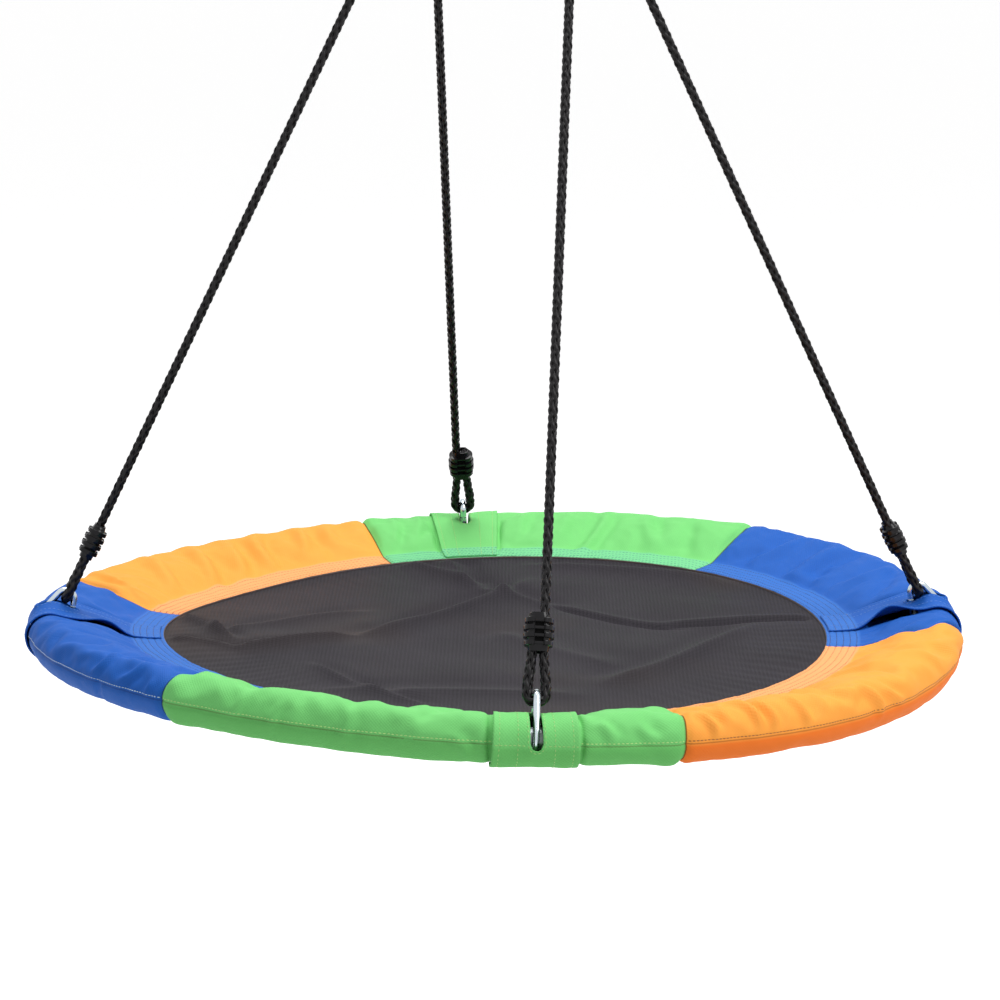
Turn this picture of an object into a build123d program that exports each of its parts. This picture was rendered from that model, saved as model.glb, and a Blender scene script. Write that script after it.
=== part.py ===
from build123d import *
import os
from math import acos, asin, atan2, cos, degrees, hypot, pi, radians, sin

# Saucer nest swing: a padded ring with a mesh seat, hung by two ropes from two steel rings.
# Millimetres. +Z is up, +X runs from one hanging ring to the other, and the origin is midway
# between the two places where hooks bear inside the rings.

os.makedirs("parts", exist_ok=True)

# ---- seat ring -------------------------------------------------------------------------
ring_diameter = 1016.0  # over the padded rim
tube_diameter = 25.0
tube_wall = 1.5
plug_clearance = 0.15  # reduced tube end inside the next tube
plug_length = 60.0
shoulder_length = 6.0  # where the tube necks down to its reduced end
foam_gap = 0.3  # foam bore to tube, and foam to cover
foam_wall = 12.7
fabric_thickness = 1.2

# ---- mesh seat and the sewn band of the cover ----------------------------------------------
mesh_opening_radius = 360.0
sewn_band_width = 25.0
mesh_thickness = 2.0
mesh_gap = 0.15
mesh_hem_width = 20.0  # how far the mesh runs in between the two plies
mesh_sag = 16.0

# ---- cover panels, windows and flaps --------------------------------------------------------
panel_names = ["green_1", "orange_1", "blue_1", "green_2", "orange_2", "blue_2"]
first_seam_angle = -90.0
hanger_count = 4
first_hanger_angle = -45.0
window_half_width = 36.0
window_from_angle = -62.0  # around the rim's section, 0 is outwards and 90 is up
window_to_angle = 152.0
flap_width = 80.0
flap_thickness = 1.6
flap_gap = 0.3
flap_hem = 3.0  # the flap stops this far short of the mesh opening
flap_end_angle = -100.0
slot_width = 12.0
slot_from_angle = -5.0
slot_to_angle = 152.0
foam_end_half_gap = 30.0
tube_joint_offset = 24.0  # along the rim, from the snap hook to the joint of two tubes

# ---- screws that lock the tube joints --------------------------------------------------------
screw_offset = 15.0
screw_diameter = 4.8
screw_hole_clearance = 0.1
screw_length = 16.0
screw_head_diameter = 9.0
screw_head_height = 2.6
screw_head_round = 0.8

# ---- snap hooks --------------------------------------------------------------------------------
hook_wire = 7.0
hook_seat_gap = 0.3  # under the tube
hook_wide_inner_radius = 16.0
hook_narrow_inner_radius = 5.6
hook_length = 70.0
gate_diameter = 6.8
gate_tip_gap = 1.0
gate_pin_from_tip = 21.0
gate_over_pin = 3.2
hook_wire_from_pin = 5.0
tang_thickness = 2.6
tang_half_width = 2.4
fork_clearance = 0.3
fork_depth = 4.5
nose_length = 5.0
nose_thickness = 2.0
nose_half_width = 2.2
nose_slot_depth = 6.5
gate_pin_diameter = 2.4
gate_pin_clearance = 0.05
spring_wire = 0.6
spring_coil_diameter = 3.0
spring_bore_clearance = 0.15
spring_bore_floor = 1.2
spring_turns = 7

# ---- ropes and their clamps ----------------------------------------------------------------------
rope_diameter = 10.0
rope_spacing = 10.6  # two strands side by side in a clamp
rope_bore_clearance = 0.15
rope_seat_gap = 0.3
eye_width = 18.2
eye_length = 49.0  # lower clamp down to the rope's turn in the snap hook
eye_widest_above_turn = 19.0
clamp_width = 28.0
clamp_depth = 18.0
clamp_length = 39.0
clamp_ribs = 4
clamp_rib_pitch = 7.6
clamp_rib_width = 3.6
clamp_rib_height = 1.2
clamp_end_round = 3.0

# ---- hanging rings ---------------------------------------------------------------------------------
hang_height = 957.0  # from the plane of the seat ring's tube up to the hooks
hook_spacing = 138.0
hanger_inner_diameter = 40.0
hanger_wire = 8.0
hanger_rope_gap = 0.6
upper_eye_width = 20.0
upper_clamp_below_wire = 34.0
spread_below_clamp = 8.0
spread_bend_radius = 26.0

# ---- worked out from the sizes above -----------------------------------------------------------------
tube_radius = tube_diameter / 2
foam_inner_radius = tube_radius + foam_gap
foam_outer_radius = foam_inner_radius + foam_wall
cover_inner_radius = foam_outer_radius + foam_gap
cover_radius = cover_inner_radius + fabric_thickness
rim_radius = ring_diameter / 2 - cover_radius
slot_half_height = mesh_thickness / 2 + mesh_gap
band_half_height = slot_half_height + fabric_thickness
panel_angle = 360.0 / len(panel_names)
hanger_angles = [first_hanger_angle + k * 360.0 / hanger_count for k in range(hanger_count)]
flap_inner_radius = cover_radius + flap_gap
flap_outer_radius = flap_inner_radius + flap_thickness


def finish(piece, name):
    piece.part.label = name
    export_step(piece.part, f"parts/{name}.step")
    print(name, "volume", round(piece.part.volume / 1000, 2), "cm3")


def along_rim(length):
    """Degrees around the ring for a length along the tube's centre line."""
    return degrees(length / rim_radius)


def section_plane(angle):
    """Upright plane through the ring's axis: x is the distance from the axis, y is height."""
    turn = radians(angle)
    return Plane(origin=(0, 0, -hang_height), x_dir=(cos(turn), sin(turn), 0),
                 z_dir=(sin(turn), -cos(turn), 0))


def rim_point(angle):
    turn = radians(angle)
    return Vector(rim_radius * cos(turn), rim_radius * sin(turn), -hang_height)


def outward(angle):
    return Vector(cos(radians(angle)), sin(radians(angle)), 0)


def sleeve_outline(radius, half_height, tip_radius):
    """A round rim that runs in to a flat band: the section of the cover and of its offsets."""
    band_radius = mesh_opening_radius + sewn_band_width
    reach = hypot(band_radius - rim_radius, half_height)
    touch = degrees(atan2(half_height, band_radius - rim_radius) - acos(radius / reach))
    with BuildSketch() as outline:
        with BuildLine():
            rim = CenterArc((rim_radius, 0), radius, -touch, 2 * touch)
            Polyline(rim @ 1, (band_radius, half_height), (tip_radius, half_height),
                     (tip_radius, -half_height), (band_radius, -half_height), rim @ 0)
        make_face()
    return outline.sketch


def rim_wedge(from_angle, to_angle, reach):
    """The part of the rim's section between two angles, out to a reach."""
    steps = 6
    angles = [radians(from_angle + (to_angle - from_angle) * k / steps) for k in range(steps + 1)]
    corners = [(rim_radius + reach * cos(a), reach * sin(a)) for a in angles]
    with BuildSketch() as wedge:
        with BuildLine():
            Polyline((rim_radius, 0), *corners, close=True)
        make_face()
    return wedge.sketch


# ---- hanger frames: where the snap hook, rope eye and clamp of each hanger stand ---------------------
class HangerFrame:
    """along is the pull of the rope, across lies beside the tube, inward is square to both."""

    def __init__(self, angle):
        side = 1 if cos(radians(angle)) > 0 else -1
        self.side_y = 1 if sin(radians(angle)) > 0 else -1
        self.side_x = side
        self.angle = angle
        self.base = rim_point(angle)
        self.spread = spread_point(side, self.side_y)
        tangent = Vector(-sin(radians(angle)), cos(radians(angle)), 0)
        toward_rope = 1 if tangent.dot(self.spread - self.base) > 0 else -1
        tangent = tangent * toward_rope
        self.along = (self.spread - self.base).normalized()
        for _ in range(8):
            self.across = (tangent - self.along * tangent.dot(self.along)).normalized()
            pull = self.spread - self.base - self.across * (rope_spacing / 2)
            self.along = pull.normalized()
        self.across = (tangent - self.along * tangent.dot(self.along)).normalized()
        self.inward = self.along.cross(self.across)
        if self.inward.dot(outward(angle)) > 0:
            self.inward = self.inward * -1

    def at(self, across, along):
        return self.base + self.across * across + self.along * along

    def hook_plane(self):
        """x points to the seat's middle, y along the pull."""
        return Plane(origin=self.base, x_dir=self.inward, z_dir=self.inward.cross(self.along))

    def cross_plane(self, along):
        return Plane(origin=self.at(0, along), x_dir=self.across, z_dir=self.along)


def hang_down(side):
    """The way the two ropes of one side pull their hanging ring."""
    middle = Vector(side * rim_radius * cos(radians(first_hanger_angle)), 0, -hang_height)
    return (middle - Vector(side * hook_spacing / 2, 0, 0)).normalized()


def below_hook(side, distance, y=0.0):
    return Vector(side * hook_spacing / 2, y, 0) + hang_down(side) * distance


hanger_wire_radius = hanger_wire / 2
hanger_radius = hanger_inner_diameter / 2 + hanger_wire_radius
wire_below_hook = hanger_inner_diameter + hanger_wire_radius
upper_clamp_top = wire_below_hook + upper_clamp_below_wire
upper_clamp_bottom = upper_clamp_top + clamp_length
upper_turn_radius = hanger_wire_radius + rope_diameter / 2 + hanger_rope_gap


def spread_point(side, side_y):
    """Where a rope bends out below the upper clamp."""
    return below_hook(side, upper_clamp_bottom + spread_below_clamp, side_y * rope_spacing / 2)


frames = [HangerFrame(angle) for angle in hanger_angles]

# ---- snap hook outline, in its own plane ---------------------------------------------------------------
wire_radius = hook_wire / 2
hook_wide_radius = hook_wide_inner_radius + wire_radius
hook_narrow_radius = hook_narrow_inner_radius + wire_radius
wide_centre = hook_wide_inner_radius - tube_radius - hook_seat_gap
hook_bottom = wide_centre - hook_wide_radius - wire_radius
hook_top_wire = hook_bottom + hook_length - wire_radius
narrow_centre = hook_top_wire - hook_narrow_radius
leg_slope = asin((hook_wide_radius - hook_narrow_radius) / (narrow_centre - wide_centre))
leg_low = Vector(hook_wide_radius * cos(leg_slope), wide_centre + hook_wide_radius * sin(leg_slope))
leg_high = Vector(hook_narrow_radius * cos(leg_slope),
                  narrow_centre + hook_narrow_radius * sin(leg_slope))
leg_way = (leg_high - leg_low).normalized()
gate_tip = leg_low + leg_way * gate_tip_gap
gate_pin_place = gate_tip + leg_way * gate_pin_from_tip
rope_turn_height = hook_top_wire - wire_radius - rope_seat_gap - rope_diameter / 2
hook_turn_radius = wire_radius + rope_seat_gap + rope_diameter / 2
clamp_bottom = rope_turn_height + eye_length
clamp_top = clamp_bottom + clamp_length


def leg_box(start, length, half_width):
    """A bar along the gate's leg, in the hook's plane."""
    side = Vector(leg_way.Y, -leg_way.X) * half_width
    end = start + leg_way * length
    with BuildSketch() as bar:
        with BuildLine():
            Polyline(start + side, end + side, end - side, start - side, close=True)
        make_face()
    return bar.sketch


# ---- frame tubes: four bends, each with a reduced end inside the next --------------------------------
def screw_axis_plane(angle):
    return Plane(origin=rim_point(angle), z_dir=outward(angle))


plug_radius = tube_radius - tube_wall - plug_clearance
plug_bore_radius = plug_radius - tube_wall
joint_offset_angle = along_rim(tube_joint_offset)
screw_angles = [angle + along_rim(screw_offset) for angle in hanger_angles]
bend_angle = 360.0 / hanger_count

for k, hanger_angle in enumerate(hanger_angles):
    start = hanger_angle + joint_offset_angle
    plug_angle = along_rim(plug_length)
    stretches = [
        (start, bend_angle, tube_radius, tube_radius - tube_wall),
        (start, along_rim(shoulder_length), tube_radius, plug_bore_radius),
        (start - plug_angle, plug_angle, plug_radius, plug_bore_radius),
    ]
    with BuildPart() as tube:
        for from_angle, span, outer, inner in stretches:
            with BuildSketch(section_plane(from_angle)):
                with Locations((rim_radius, 0)):
                    Circle(outer)
                    Circle(inner, mode=Mode.SUBTRACT)
            revolve(axis=Axis.Z, revolution_arc=span)
        for screw_angle in (screw_angles[k], screw_angles[k] + bend_angle):
            with BuildSketch(screw_axis_plane(screw_angle)):
                Circle(screw_diameter / 2 + screw_hole_clearance)
            extrude(amount=2 * tube_radius, mode=Mode.SUBTRACT)
    finish(tube, f"frame_tube_{k + 1}")

with BuildPart() as screws:
    for screw_angle in screw_angles:
        axis_plane = screw_axis_plane(screw_angle)
        with BuildSketch(axis_plane.offset(tube_radius - screw_length)):
            Circle(screw_diameter / 2)
        extrude(amount=screw_length)
        with BuildSketch(axis_plane.offset(tube_radius)):
            Circle(screw_head_diameter / 2)
        head = extrude(amount=screw_head_height)
        outer_edge = head.edges().filter_by(GeomType.CIRCLE).group_by(
            lambda edge: (edge.arc_center - axis_plane.origin).length)[-1]
        fillet(outer_edge, screw_head_round)
finish(screws, "frame_screws")

# ---- foam sleeves: one between each two snap hooks ------------------------------------------------------
foam_end_angle = along_rim(foam_end_half_gap)
for k, hanger_angle in enumerate(hanger_angles):
    with BuildPart() as foam:
        with BuildSketch(section_plane(hanger_angle + foam_end_angle)):
            with Locations((rim_radius, 0)):
                Circle(foam_outer_radius)
                Circle(foam_inner_radius, mode=Mode.SUBTRACT)
        revolve(axis=Axis.Z, revolution_arc=bend_angle - 2 * foam_end_angle)
    finish(foam, f"foam_sleeve_{k + 1}")

# ---- cover panels: sewn sleeves over foam and tube, open under each flap --------------------------------
for k, panel_name in enumerate(panel_names):
    seam_angle = first_seam_angle + k * panel_angle
    with BuildPart() as panel:
        with BuildSketch(section_plane(seam_angle)):
            add(sleeve_outline(cover_radius, band_half_height, mesh_opening_radius))
            add(sleeve_outline(cover_inner_radius, slot_half_height,
                               mesh_opening_radius - fabric_thickness), mode=Mode.SUBTRACT)
        revolve(axis=Axis.Z, revolution_arc=panel_angle)
        for hanger_angle in hanger_angles:
            if seam_angle < hanger_angle < seam_angle + panel_angle:
                with BuildSketch(section_plane(hanger_angle)):
                    add(rim_wedge(window_from_angle, window_to_angle, 2 * cover_radius))
                extrude(amount=window_half_width, both=True, mode=Mode.SUBTRACT)
    finish(panel, f"cover_panel_{panel_name}")

# ---- mesh seat: a shallow dish whose hem lies between the two plies of the cover -------------------------
mesh_hem_radius = mesh_opening_radius + mesh_hem_width
half_mesh = mesh_thickness / 2
dish_radius = (mesh_opening_radius ** 2 + mesh_sag ** 2) / (2 * mesh_sag)
dish_centre = dish_radius - mesh_sag
dish_angle = degrees(asin(mesh_opening_radius / dish_radius))
with BuildPart() as mesh_seat:
    with BuildSketch(section_plane(0)):
        with BuildLine():
            under = CenterArc((0, dish_centre - half_mesh), dish_radius, -90, dish_angle)
            over = CenterArc((0, dish_centre + half_mesh), dish_radius, -90, dish_angle)
            Line(under @ 0, over @ 0)
            Polyline(over @ 1, (mesh_hem_radius, half_mesh), (mesh_hem_radius, -half_mesh),
                     under @ 1)
        make_face()
    revolve(axis=Axis.Z)
finish(mesh_seat, "mesh_seat")

# ---- hanger flaps: a band over each window, with a slot for the snap hook ---------------------------------
flap_angle = along_rim(flap_width)
flap_tip_radius = mesh_opening_radius + flap_hem
flap_low_height = band_half_height + flap_gap
for k, hanger_angle in enumerate(hanger_angles):
    with BuildPart() as flap:
        with BuildSketch(section_plane(hanger_angle - flap_angle / 2)):
            add(sleeve_outline(flap_outer_radius, flap_low_height + flap_thickness,
                               flap_tip_radius))
            add(sleeve_outline(flap_inner_radius, flap_low_height, flap_tip_radius - 1),
                mode=Mode.SUBTRACT)
            add(rim_wedge(-180, flap_end_angle, rim_radius), mode=Mode.SUBTRACT)
        revolve(axis=Axis.Z, revolution_arc=flap_angle)
        with BuildSketch(section_plane(hanger_angle)):
            add(rim_wedge(slot_from_angle, slot_to_angle, 2 * cover_radius))
        extrude(amount=slot_width / 2, both=True, mode=Mode.SUBTRACT)
    finish(flap, f"hanger_flap_{k + 1}")

# ---- snap hooks, gates, pins and springs --------------------------------------------------------------------
for k, frame in enumerate(frames):
    hook_plane = frame.hook_plane()
    way = hook_plane.from_local_coords(leg_way) - hook_plane.origin
    turn = degrees(leg_slope)
    wire_end = gate_pin_place + leg_way * hook_wire_from_pin
    with BuildPart() as hook:
        with BuildLine(hook_plane) as route:
            low_bow = CenterArc((0, wide_centre), hook_wide_radius, turn, -(180 + 2 * turn))
            outer_leg = Line((-leg_low.X, leg_low.Y), (-leg_high.X, leg_high.Y))
            top_bow = CenterArc((0, narrow_centre), hook_narrow_radius, 180 - turn,
                                -(180 - 2 * turn))
            Line((leg_high.X, leg_high.Y), (wire_end.X, wire_end.Y))
        with BuildSketch(Plane(origin=route.wire() @ 0, z_dir=route.wire() % 0)):
            Circle(wire_radius)
        sweep(path=route.wire())
        with BuildSketch(hook_plane):
            add(leg_box(gate_pin_place, hook_wire_from_pin + wire_radius, tang_half_width))
            with Locations((gate_pin_place.X, gate_pin_place.Y)):
                Circle(tang_half_width)
        extrude(amount=tang_thickness / 2, both=True)
        with BuildSketch(hook_plane):
            add(leg_box(leg_low - leg_way * wire_radius, wire_radius + nose_length,
                        nose_half_width))
        extrude(amount=nose_thickness / 2, both=True)
        with BuildSketch(hook_plane):
            with Locations((gate_pin_place.X, gate_pin_place.Y)):
                Circle(gate_pin_diameter / 2 + gate_pin_clearance)
        extrude(amount=hook_wire, both=True, mode=Mode.SUBTRACT)
    finish(hook, f"snap_hook_{k + 1}")

    fork_half = tang_thickness / 2 + fork_clearance
    tip_plane = Plane(origin=hook_plane.from_local_coords(gate_tip), z_dir=way)
    spring_bore_radius = (spring_coil_diameter + spring_wire) / 2 + spring_bore_clearance
    spring_bore_low = nose_slot_depth + spring_bore_floor
    with BuildPart() as gate:
        with BuildSketch(tip_plane):
            Circle(gate_diameter / 2)
        extrude(amount=gate_pin_from_tip + gate_over_pin)
        with BuildSketch(hook_plane):
            add(leg_box(gate_pin_place - leg_way * fork_depth, fork_depth + hook_wire,
                        hook_wire))
        extrude(amount=fork_half, both=True, mode=Mode.SUBTRACT)
        with BuildSketch(hook_plane):
            add(leg_box(gate_tip - leg_way, nose_slot_depth + 1, hook_wire))
        extrude(amount=nose_thickness / 2 + fork_clearance, both=True, mode=Mode.SUBTRACT)
        with BuildSketch(hook_plane):
            with Locations((gate_pin_place.X, gate_pin_place.Y)):
                Circle(gate_pin_diameter / 2 + gate_pin_clearance)
        extrude(amount=hook_wire, both=True, mode=Mode.SUBTRACT)
        with BuildSketch(tip_plane.offset(spring_bore_low)):
            Circle(spring_bore_radius)
        extrude(amount=gate_pin_from_tip - spring_bore_low, mode=Mode.SUBTRACT)
    finish(gate, f"hook_gate_{k + 1}")

    spring_low = spring_bore_low + spring_wire / 2
    spring_high = gate_pin_from_tip - tang_half_width - fork_clearance - spring_wire / 2
    spring_length = spring_high - spring_low
    with BuildPart() as spring:
        with BuildLine() as coil:
            Helix(spring_length / spring_turns, spring_length, spring_coil_diameter / 2,
                  center=tip_plane.offset(spring_low).origin, direction=way)
        with BuildSketch(Plane(origin=coil.wire() @ 0, z_dir=coil.wire() % 0)):
            Circle(spring_wire / 2)
        sweep(path=coil.wire(), is_frenet=True)
    finish(spring, f"gate_spring_{k + 1}")

    with BuildPart() as pin:
        with BuildSketch(hook_plane):
            with Locations((gate_pin_place.X, gate_pin_place.Y)):
                Circle(gate_pin_diameter / 2)
        extrude(amount=gate_diameter / 2, both=True)
    finish(pin, f"gate_pin_{k + 1}")

# ---- ropes: each runs from one snap hook up over its hanging ring and down to the other ----------------------
# Across and along the pull, from the cut end in the lower clamp round the eye and up again.
half_space = rope_spacing / 2
half_eye = eye_width / 2
eye_route = [
    (-half_space, clamp_top - 1.0),
    (-half_space, clamp_bottom - 4.0),
    (-half_eye, rope_turn_height + eye_widest_above_turn),
    (-half_eye + 0.1, rope_turn_height),
    (half_eye - 0.1, rope_turn_height),
    (half_eye, rope_turn_height + eye_widest_above_turn),
    (half_space, clamp_bottom - 4.0),
]
eye_radii = [60.0, 60.0, hook_turn_radius, hook_turn_radius, 60.0, 60.0]
# Beside and below the hook, from the spread of the rope up over the ring's wire.
half_upper_eye = upper_eye_width / 2
upper_route = [
    (half_space, upper_clamp_bottom + spread_below_clamp),
    (half_space, upper_clamp_top - 4.0),
    (half_upper_eye, wire_below_hook + 8.0),
    (half_upper_eye - 0.1, wire_below_hook - upper_turn_radius),
]
upper_radii = [spread_bend_radius, 40.0, 40.0, upper_turn_radius]

rope_radius = rope_diameter / 2
for side, name in ((-1, "rope_1"), (1, "rope_2")):
    near, far = [frame for frame in frames if frame.side_x == side]
    first, last = (near, far) if near.side_y < 0 else (far, near)
    points = [first.at(*place) for place in eye_route]
    points += [below_hook(side, along, -y) for y, along in upper_route]
    points += [below_hook(side, along, y) for y, along in reversed(upper_route)]
    points += [last.at(*place) for place in reversed(eye_route)]
    radii = eye_radii + upper_radii + upper_radii[::-1] + eye_radii[::-1]
    with BuildPart() as rope:
        with BuildLine() as route:
            FilletPolyline(*points, radius=radii)
        with BuildSketch(Plane(origin=route.wire() @ 0, z_dir=route.wire() % 0)):
            Circle(rope_radius)
        sweep(path=route.wire())
    finish(rope, name)
    length = route.wire().length
    print(name, "length", round(length, 1), "radii", [round(r, 1) for r in radii],
          "volume by length", round(length * pi * rope_radius ** 2 / 1000, 2))


# ---- rope clamps: four above the snap hooks and two below the hanging rings -----------------------------------
def rope_clamp(low_plane, name):
    rib_span = (clamp_ribs - 1) * clamp_rib_pitch + clamp_rib_width
    first_rib = (clamp_length - rib_span) / 2
    core_width = clamp_width - 2 * clamp_rib_height
    core_depth = clamp_depth - 2 * clamp_rib_height
    with BuildPart() as clamp:
        with BuildSketch(low_plane):
            SlotOverall(core_width, core_depth)
        barrel = extrude(amount=clamp_length)
        ends = barrel.faces().sort_by(Axis(low_plane.origin, low_plane.z_dir))
        fillet(ends[0].edges() + ends[-1].edges(), clamp_end_round)
        for rib in range(clamp_ribs):
            with BuildSketch(low_plane.offset(first_rib + rib * clamp_rib_pitch)):
                SlotOverall(clamp_width, clamp_depth)
            extrude(amount=clamp_rib_width)
        with BuildSketch(low_plane):
            with GridLocations(rope_spacing, 0, 2, 1):
                Circle(rope_radius + rope_bore_clearance)
        extrude(amount=clamp_length, mode=Mode.SUBTRACT)
    finish(clamp, name)


for k, frame in enumerate(frames):
    rope_clamp(frame.cross_plane(clamp_bottom), f"rope_clamp_{k + 1}")
for k, side in enumerate((-1, 1)):
    low_plane = Plane(origin=below_hook(side, upper_clamp_bottom), x_dir=(0, 1, 0),
                      z_dir=hang_down(side) * -1)
    rope_clamp(low_plane, f"upper_clamp_{k + 1}")

# ---- hanging rings ----------------------------------------------------------------------------------------------
for k, side in enumerate((-1, 1)):
    ring_centre = below_hook(side, hanger_inner_diameter / 2)
    with BuildPart() as hanging_ring:
        with Locations(Location(tuple(ring_centre), (90, 0, 0))):
            Torus(hanger_radius, hanger_wire_radius)
    finish(hanging_ring, f"hanging_ring_{k + 1}")
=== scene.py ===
import bpy
import numpy as np
from math import acos, atan2, ceil, cos, degrees, hypot, pi, radians, sin
from mathutils import Matrix, Vector, noise
from mathutils.bvhtree import BVHTree


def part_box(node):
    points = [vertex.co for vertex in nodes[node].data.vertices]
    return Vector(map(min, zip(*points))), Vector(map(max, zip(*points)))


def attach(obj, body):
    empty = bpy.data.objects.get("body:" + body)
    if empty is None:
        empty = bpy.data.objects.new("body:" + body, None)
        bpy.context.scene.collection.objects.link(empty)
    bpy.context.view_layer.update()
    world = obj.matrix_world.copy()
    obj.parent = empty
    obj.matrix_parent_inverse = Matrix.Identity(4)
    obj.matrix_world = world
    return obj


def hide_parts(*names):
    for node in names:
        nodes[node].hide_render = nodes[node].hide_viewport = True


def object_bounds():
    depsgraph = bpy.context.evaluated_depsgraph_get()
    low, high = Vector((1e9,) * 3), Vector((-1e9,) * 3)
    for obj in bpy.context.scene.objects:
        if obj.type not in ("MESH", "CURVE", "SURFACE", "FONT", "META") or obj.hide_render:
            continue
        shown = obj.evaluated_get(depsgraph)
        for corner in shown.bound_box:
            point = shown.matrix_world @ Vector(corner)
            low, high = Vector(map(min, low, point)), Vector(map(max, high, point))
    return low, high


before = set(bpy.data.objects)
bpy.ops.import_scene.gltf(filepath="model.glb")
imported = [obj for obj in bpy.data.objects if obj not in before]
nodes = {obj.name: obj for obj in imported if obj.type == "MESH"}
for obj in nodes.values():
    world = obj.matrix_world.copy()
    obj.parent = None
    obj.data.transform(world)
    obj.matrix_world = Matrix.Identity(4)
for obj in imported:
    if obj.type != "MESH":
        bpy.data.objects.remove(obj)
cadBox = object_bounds()
mm = 0.001
bpy.ops.object.select_all(action="DESELECT")
print("frame loaded:", len(nodes), "nodes")


# Main sizes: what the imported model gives, and how the cloth differs from its solids
ringShape = {
    "clothIn": 3.4 * mm,  # the cloth lies this much closer to the foam, and its puffs stand out
    "saddle": 9.4 * mm,  # the hangers pull in, so the ring bows down between them at +X and -X
    "droop": 5 * mm,  # the sewn band hangs inward under the seat's weight
    "droopFrom": 0.452,
    "slack": [(8 * mm, 186.0, 26.0), (6.5 * mm, -64.0, 62.0)],  # more where it is slackest, and over what angle
    "sewnBand": 36 * mm,
    "bandHalf": 2.35 * mm,
    "bandRows": 5,
    "cornerReach": 16 * mm,  # how far the corner where the band begins is rounded
    "cornerRounds": 30,
    "wall": 1.2 * mm,
}
coverLow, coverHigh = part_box("cover_panel_orange_1")  # stands across the +X axis
tubeLow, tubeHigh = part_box("frame_tube_1")
rimHeight = (tubeLow.z + tubeHigh.z) / 2
packedRadius = (coverHigh.z - coverLow.z) / 2
rimRadius = coverHigh.x - packedRadius
coverRadius = packedRadius - ringShape["clothIn"]
panelNames = ["green_1", "orange_1", "blue_1", "green_2", "orange_2", "blue_2"]
meshOpening = coverLow.x / cos(radians(180 / len(panelNames)))
panelSeams = [-90, -28.2, 30, 92.2, 151, 210, 270]  # degrees round the ring; sewn a little unevenly
panelSpans = dict(zip(panelNames, zip(panelSeams, panelSeams[1:])))
hangerAngles = [-45, 45, 135, 225]
hangerColours = ["green", "blue", "green", "blue"]


def smoothStep(low, high, value):
    t = np.clip((value - low) / (high - low), 0, 1)
    return t * t * (3 - 2 * t)


def bell(value, middle, width):
    return np.exp(-((value - middle) / width) ** 2)


def saddleAt(x, y):
    radius = np.hypot(x, y)
    drop = ringShape["droop"]
    for depth, angle, spread in ringShape["slack"]:
        turn = (np.degrees(np.arctan2(y, x)) - angle + 180) % 360 - 180
        drop = drop + depth * bell(turn, 0, spread)
    inward = smoothStep(0, ringShape["droopFrom"] - meshOpening, ringShape["droopFrom"] - radius)
    bow = -ringShape["saddle"] * (x * x - y * y) / rimRadius ** 2
    return bow - drop * inward * np.clip(radius / meshOpening, 0, 1) ** 2


# Camera
cameraPlace = {"turn": 39.86, "side": 0.0352, "back": 4.0744, "rise": 0.9660,
               "tiltDown": 11.47, "swing": 0.44, "roll": 0.52, "lens": 138.4, "sensor": 36, "farthest": 200}


def named(name):
    piece = bpy.context.active_object
    piece.name = name
    return piece


def placeCamera(place):
    spot = Vector((place["side"], -place["back"], place["rise"]))
    spot.rotate(Matrix.Rotation(radians(place["turn"]), 3, "Z"))
    aim = (Matrix.Rotation(radians(place["turn"] + place["swing"]), 3, "Z")
           @ Matrix.Rotation(radians(90 - place["tiltDown"]), 3, "X")
           @ Matrix.Rotation(radians(place["roll"]), 3, "Z"))
    bpy.ops.object.camera_add(location=spot + Vector((0, 0, rimHeight)), rotation=aim.to_euler())
    camera = named("studio_camera")
    camera.data.lens = place["lens"]
    camera.data.sensor_width = place["sensor"]
    camera.data.clip_end = place["farthest"]
    bpy.context.scene.camera = camera


placeCamera(cameraPlace)
print("camera placed")


# Section of the rim
def lengthsAlong(line):
    return np.concatenate([[0], np.cumsum(np.linalg.norm(np.diff(line, axis=0), axis=1))])


def readAlong(line, lengths, stations):
    return np.stack([np.interp(stations, lengths, column) for column in line.T], 1)


def rimSection():
    # from the middle of the outer face up over the top and in to the mesh, a point each millimetre
    bandRadius, half = meshOpening + ringShape["sewnBand"], ringShape["bandHalf"]
    touch = atan2(half, bandRadius - rimRadius) - acos(coverRadius / hypot(bandRadius - rimRadius, half))
    turns = np.linspace(0, touch, 60)
    arc = np.stack([rimRadius + coverRadius * np.cos(turns), coverRadius * np.sin(turns)], 1)
    line = np.concatenate([arc, [[bandRadius, half], [meshOpening, half]]])
    lengths = lengthsAlong(line)
    stations = np.append(np.arange(0, lengths[-1], 1 * mm), lengths[-1])
    even = readAlong(line, lengths, stations)
    soft = even.copy()
    for _ in range(ringShape["cornerRounds"]):
        soft[1:-1] = (soft[:-2] + 2 * soft[1:-1] + soft[2:]) / 4
    near = np.abs(stations - lengths[-2])[:, None] < ringShape["cornerReach"]
    return stations, np.where(near, soft, even)


sectionStations, sectionLine = rimSection()
sectionLength = sectionStations[-1]
sectionWays = np.gradient(sectionLine, axis=0)
sectionWays /= np.linalg.norm(sectionWays, axis=1)[:, None]
bandStation = sectionLength - ringShape["sewnBand"]


def sectionAt(v):
    # v is the length from the outer middle seam, up and over when positive, under when negative
    out, up, wayOut, wayUp = [np.interp(np.abs(v), sectionStations, column)
                              for column in (*sectionLine.T, *sectionWays.T)]
    side = np.where(v < 0, -1, 1)
    return out, up * side, wayUp, -wayOut * side


def stationOfTurn(turn):
    # length from the outer middle seam to where a ray at that angle from the tube's centre meets the cover
    rays = np.degrees(np.arctan2(sectionLine[:, 1], sectionLine[:, 0] - rimRadius))
    return float(np.interp(abs(turn), rays, sectionStations)) * (1 if turn > 0 else -1)


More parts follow.
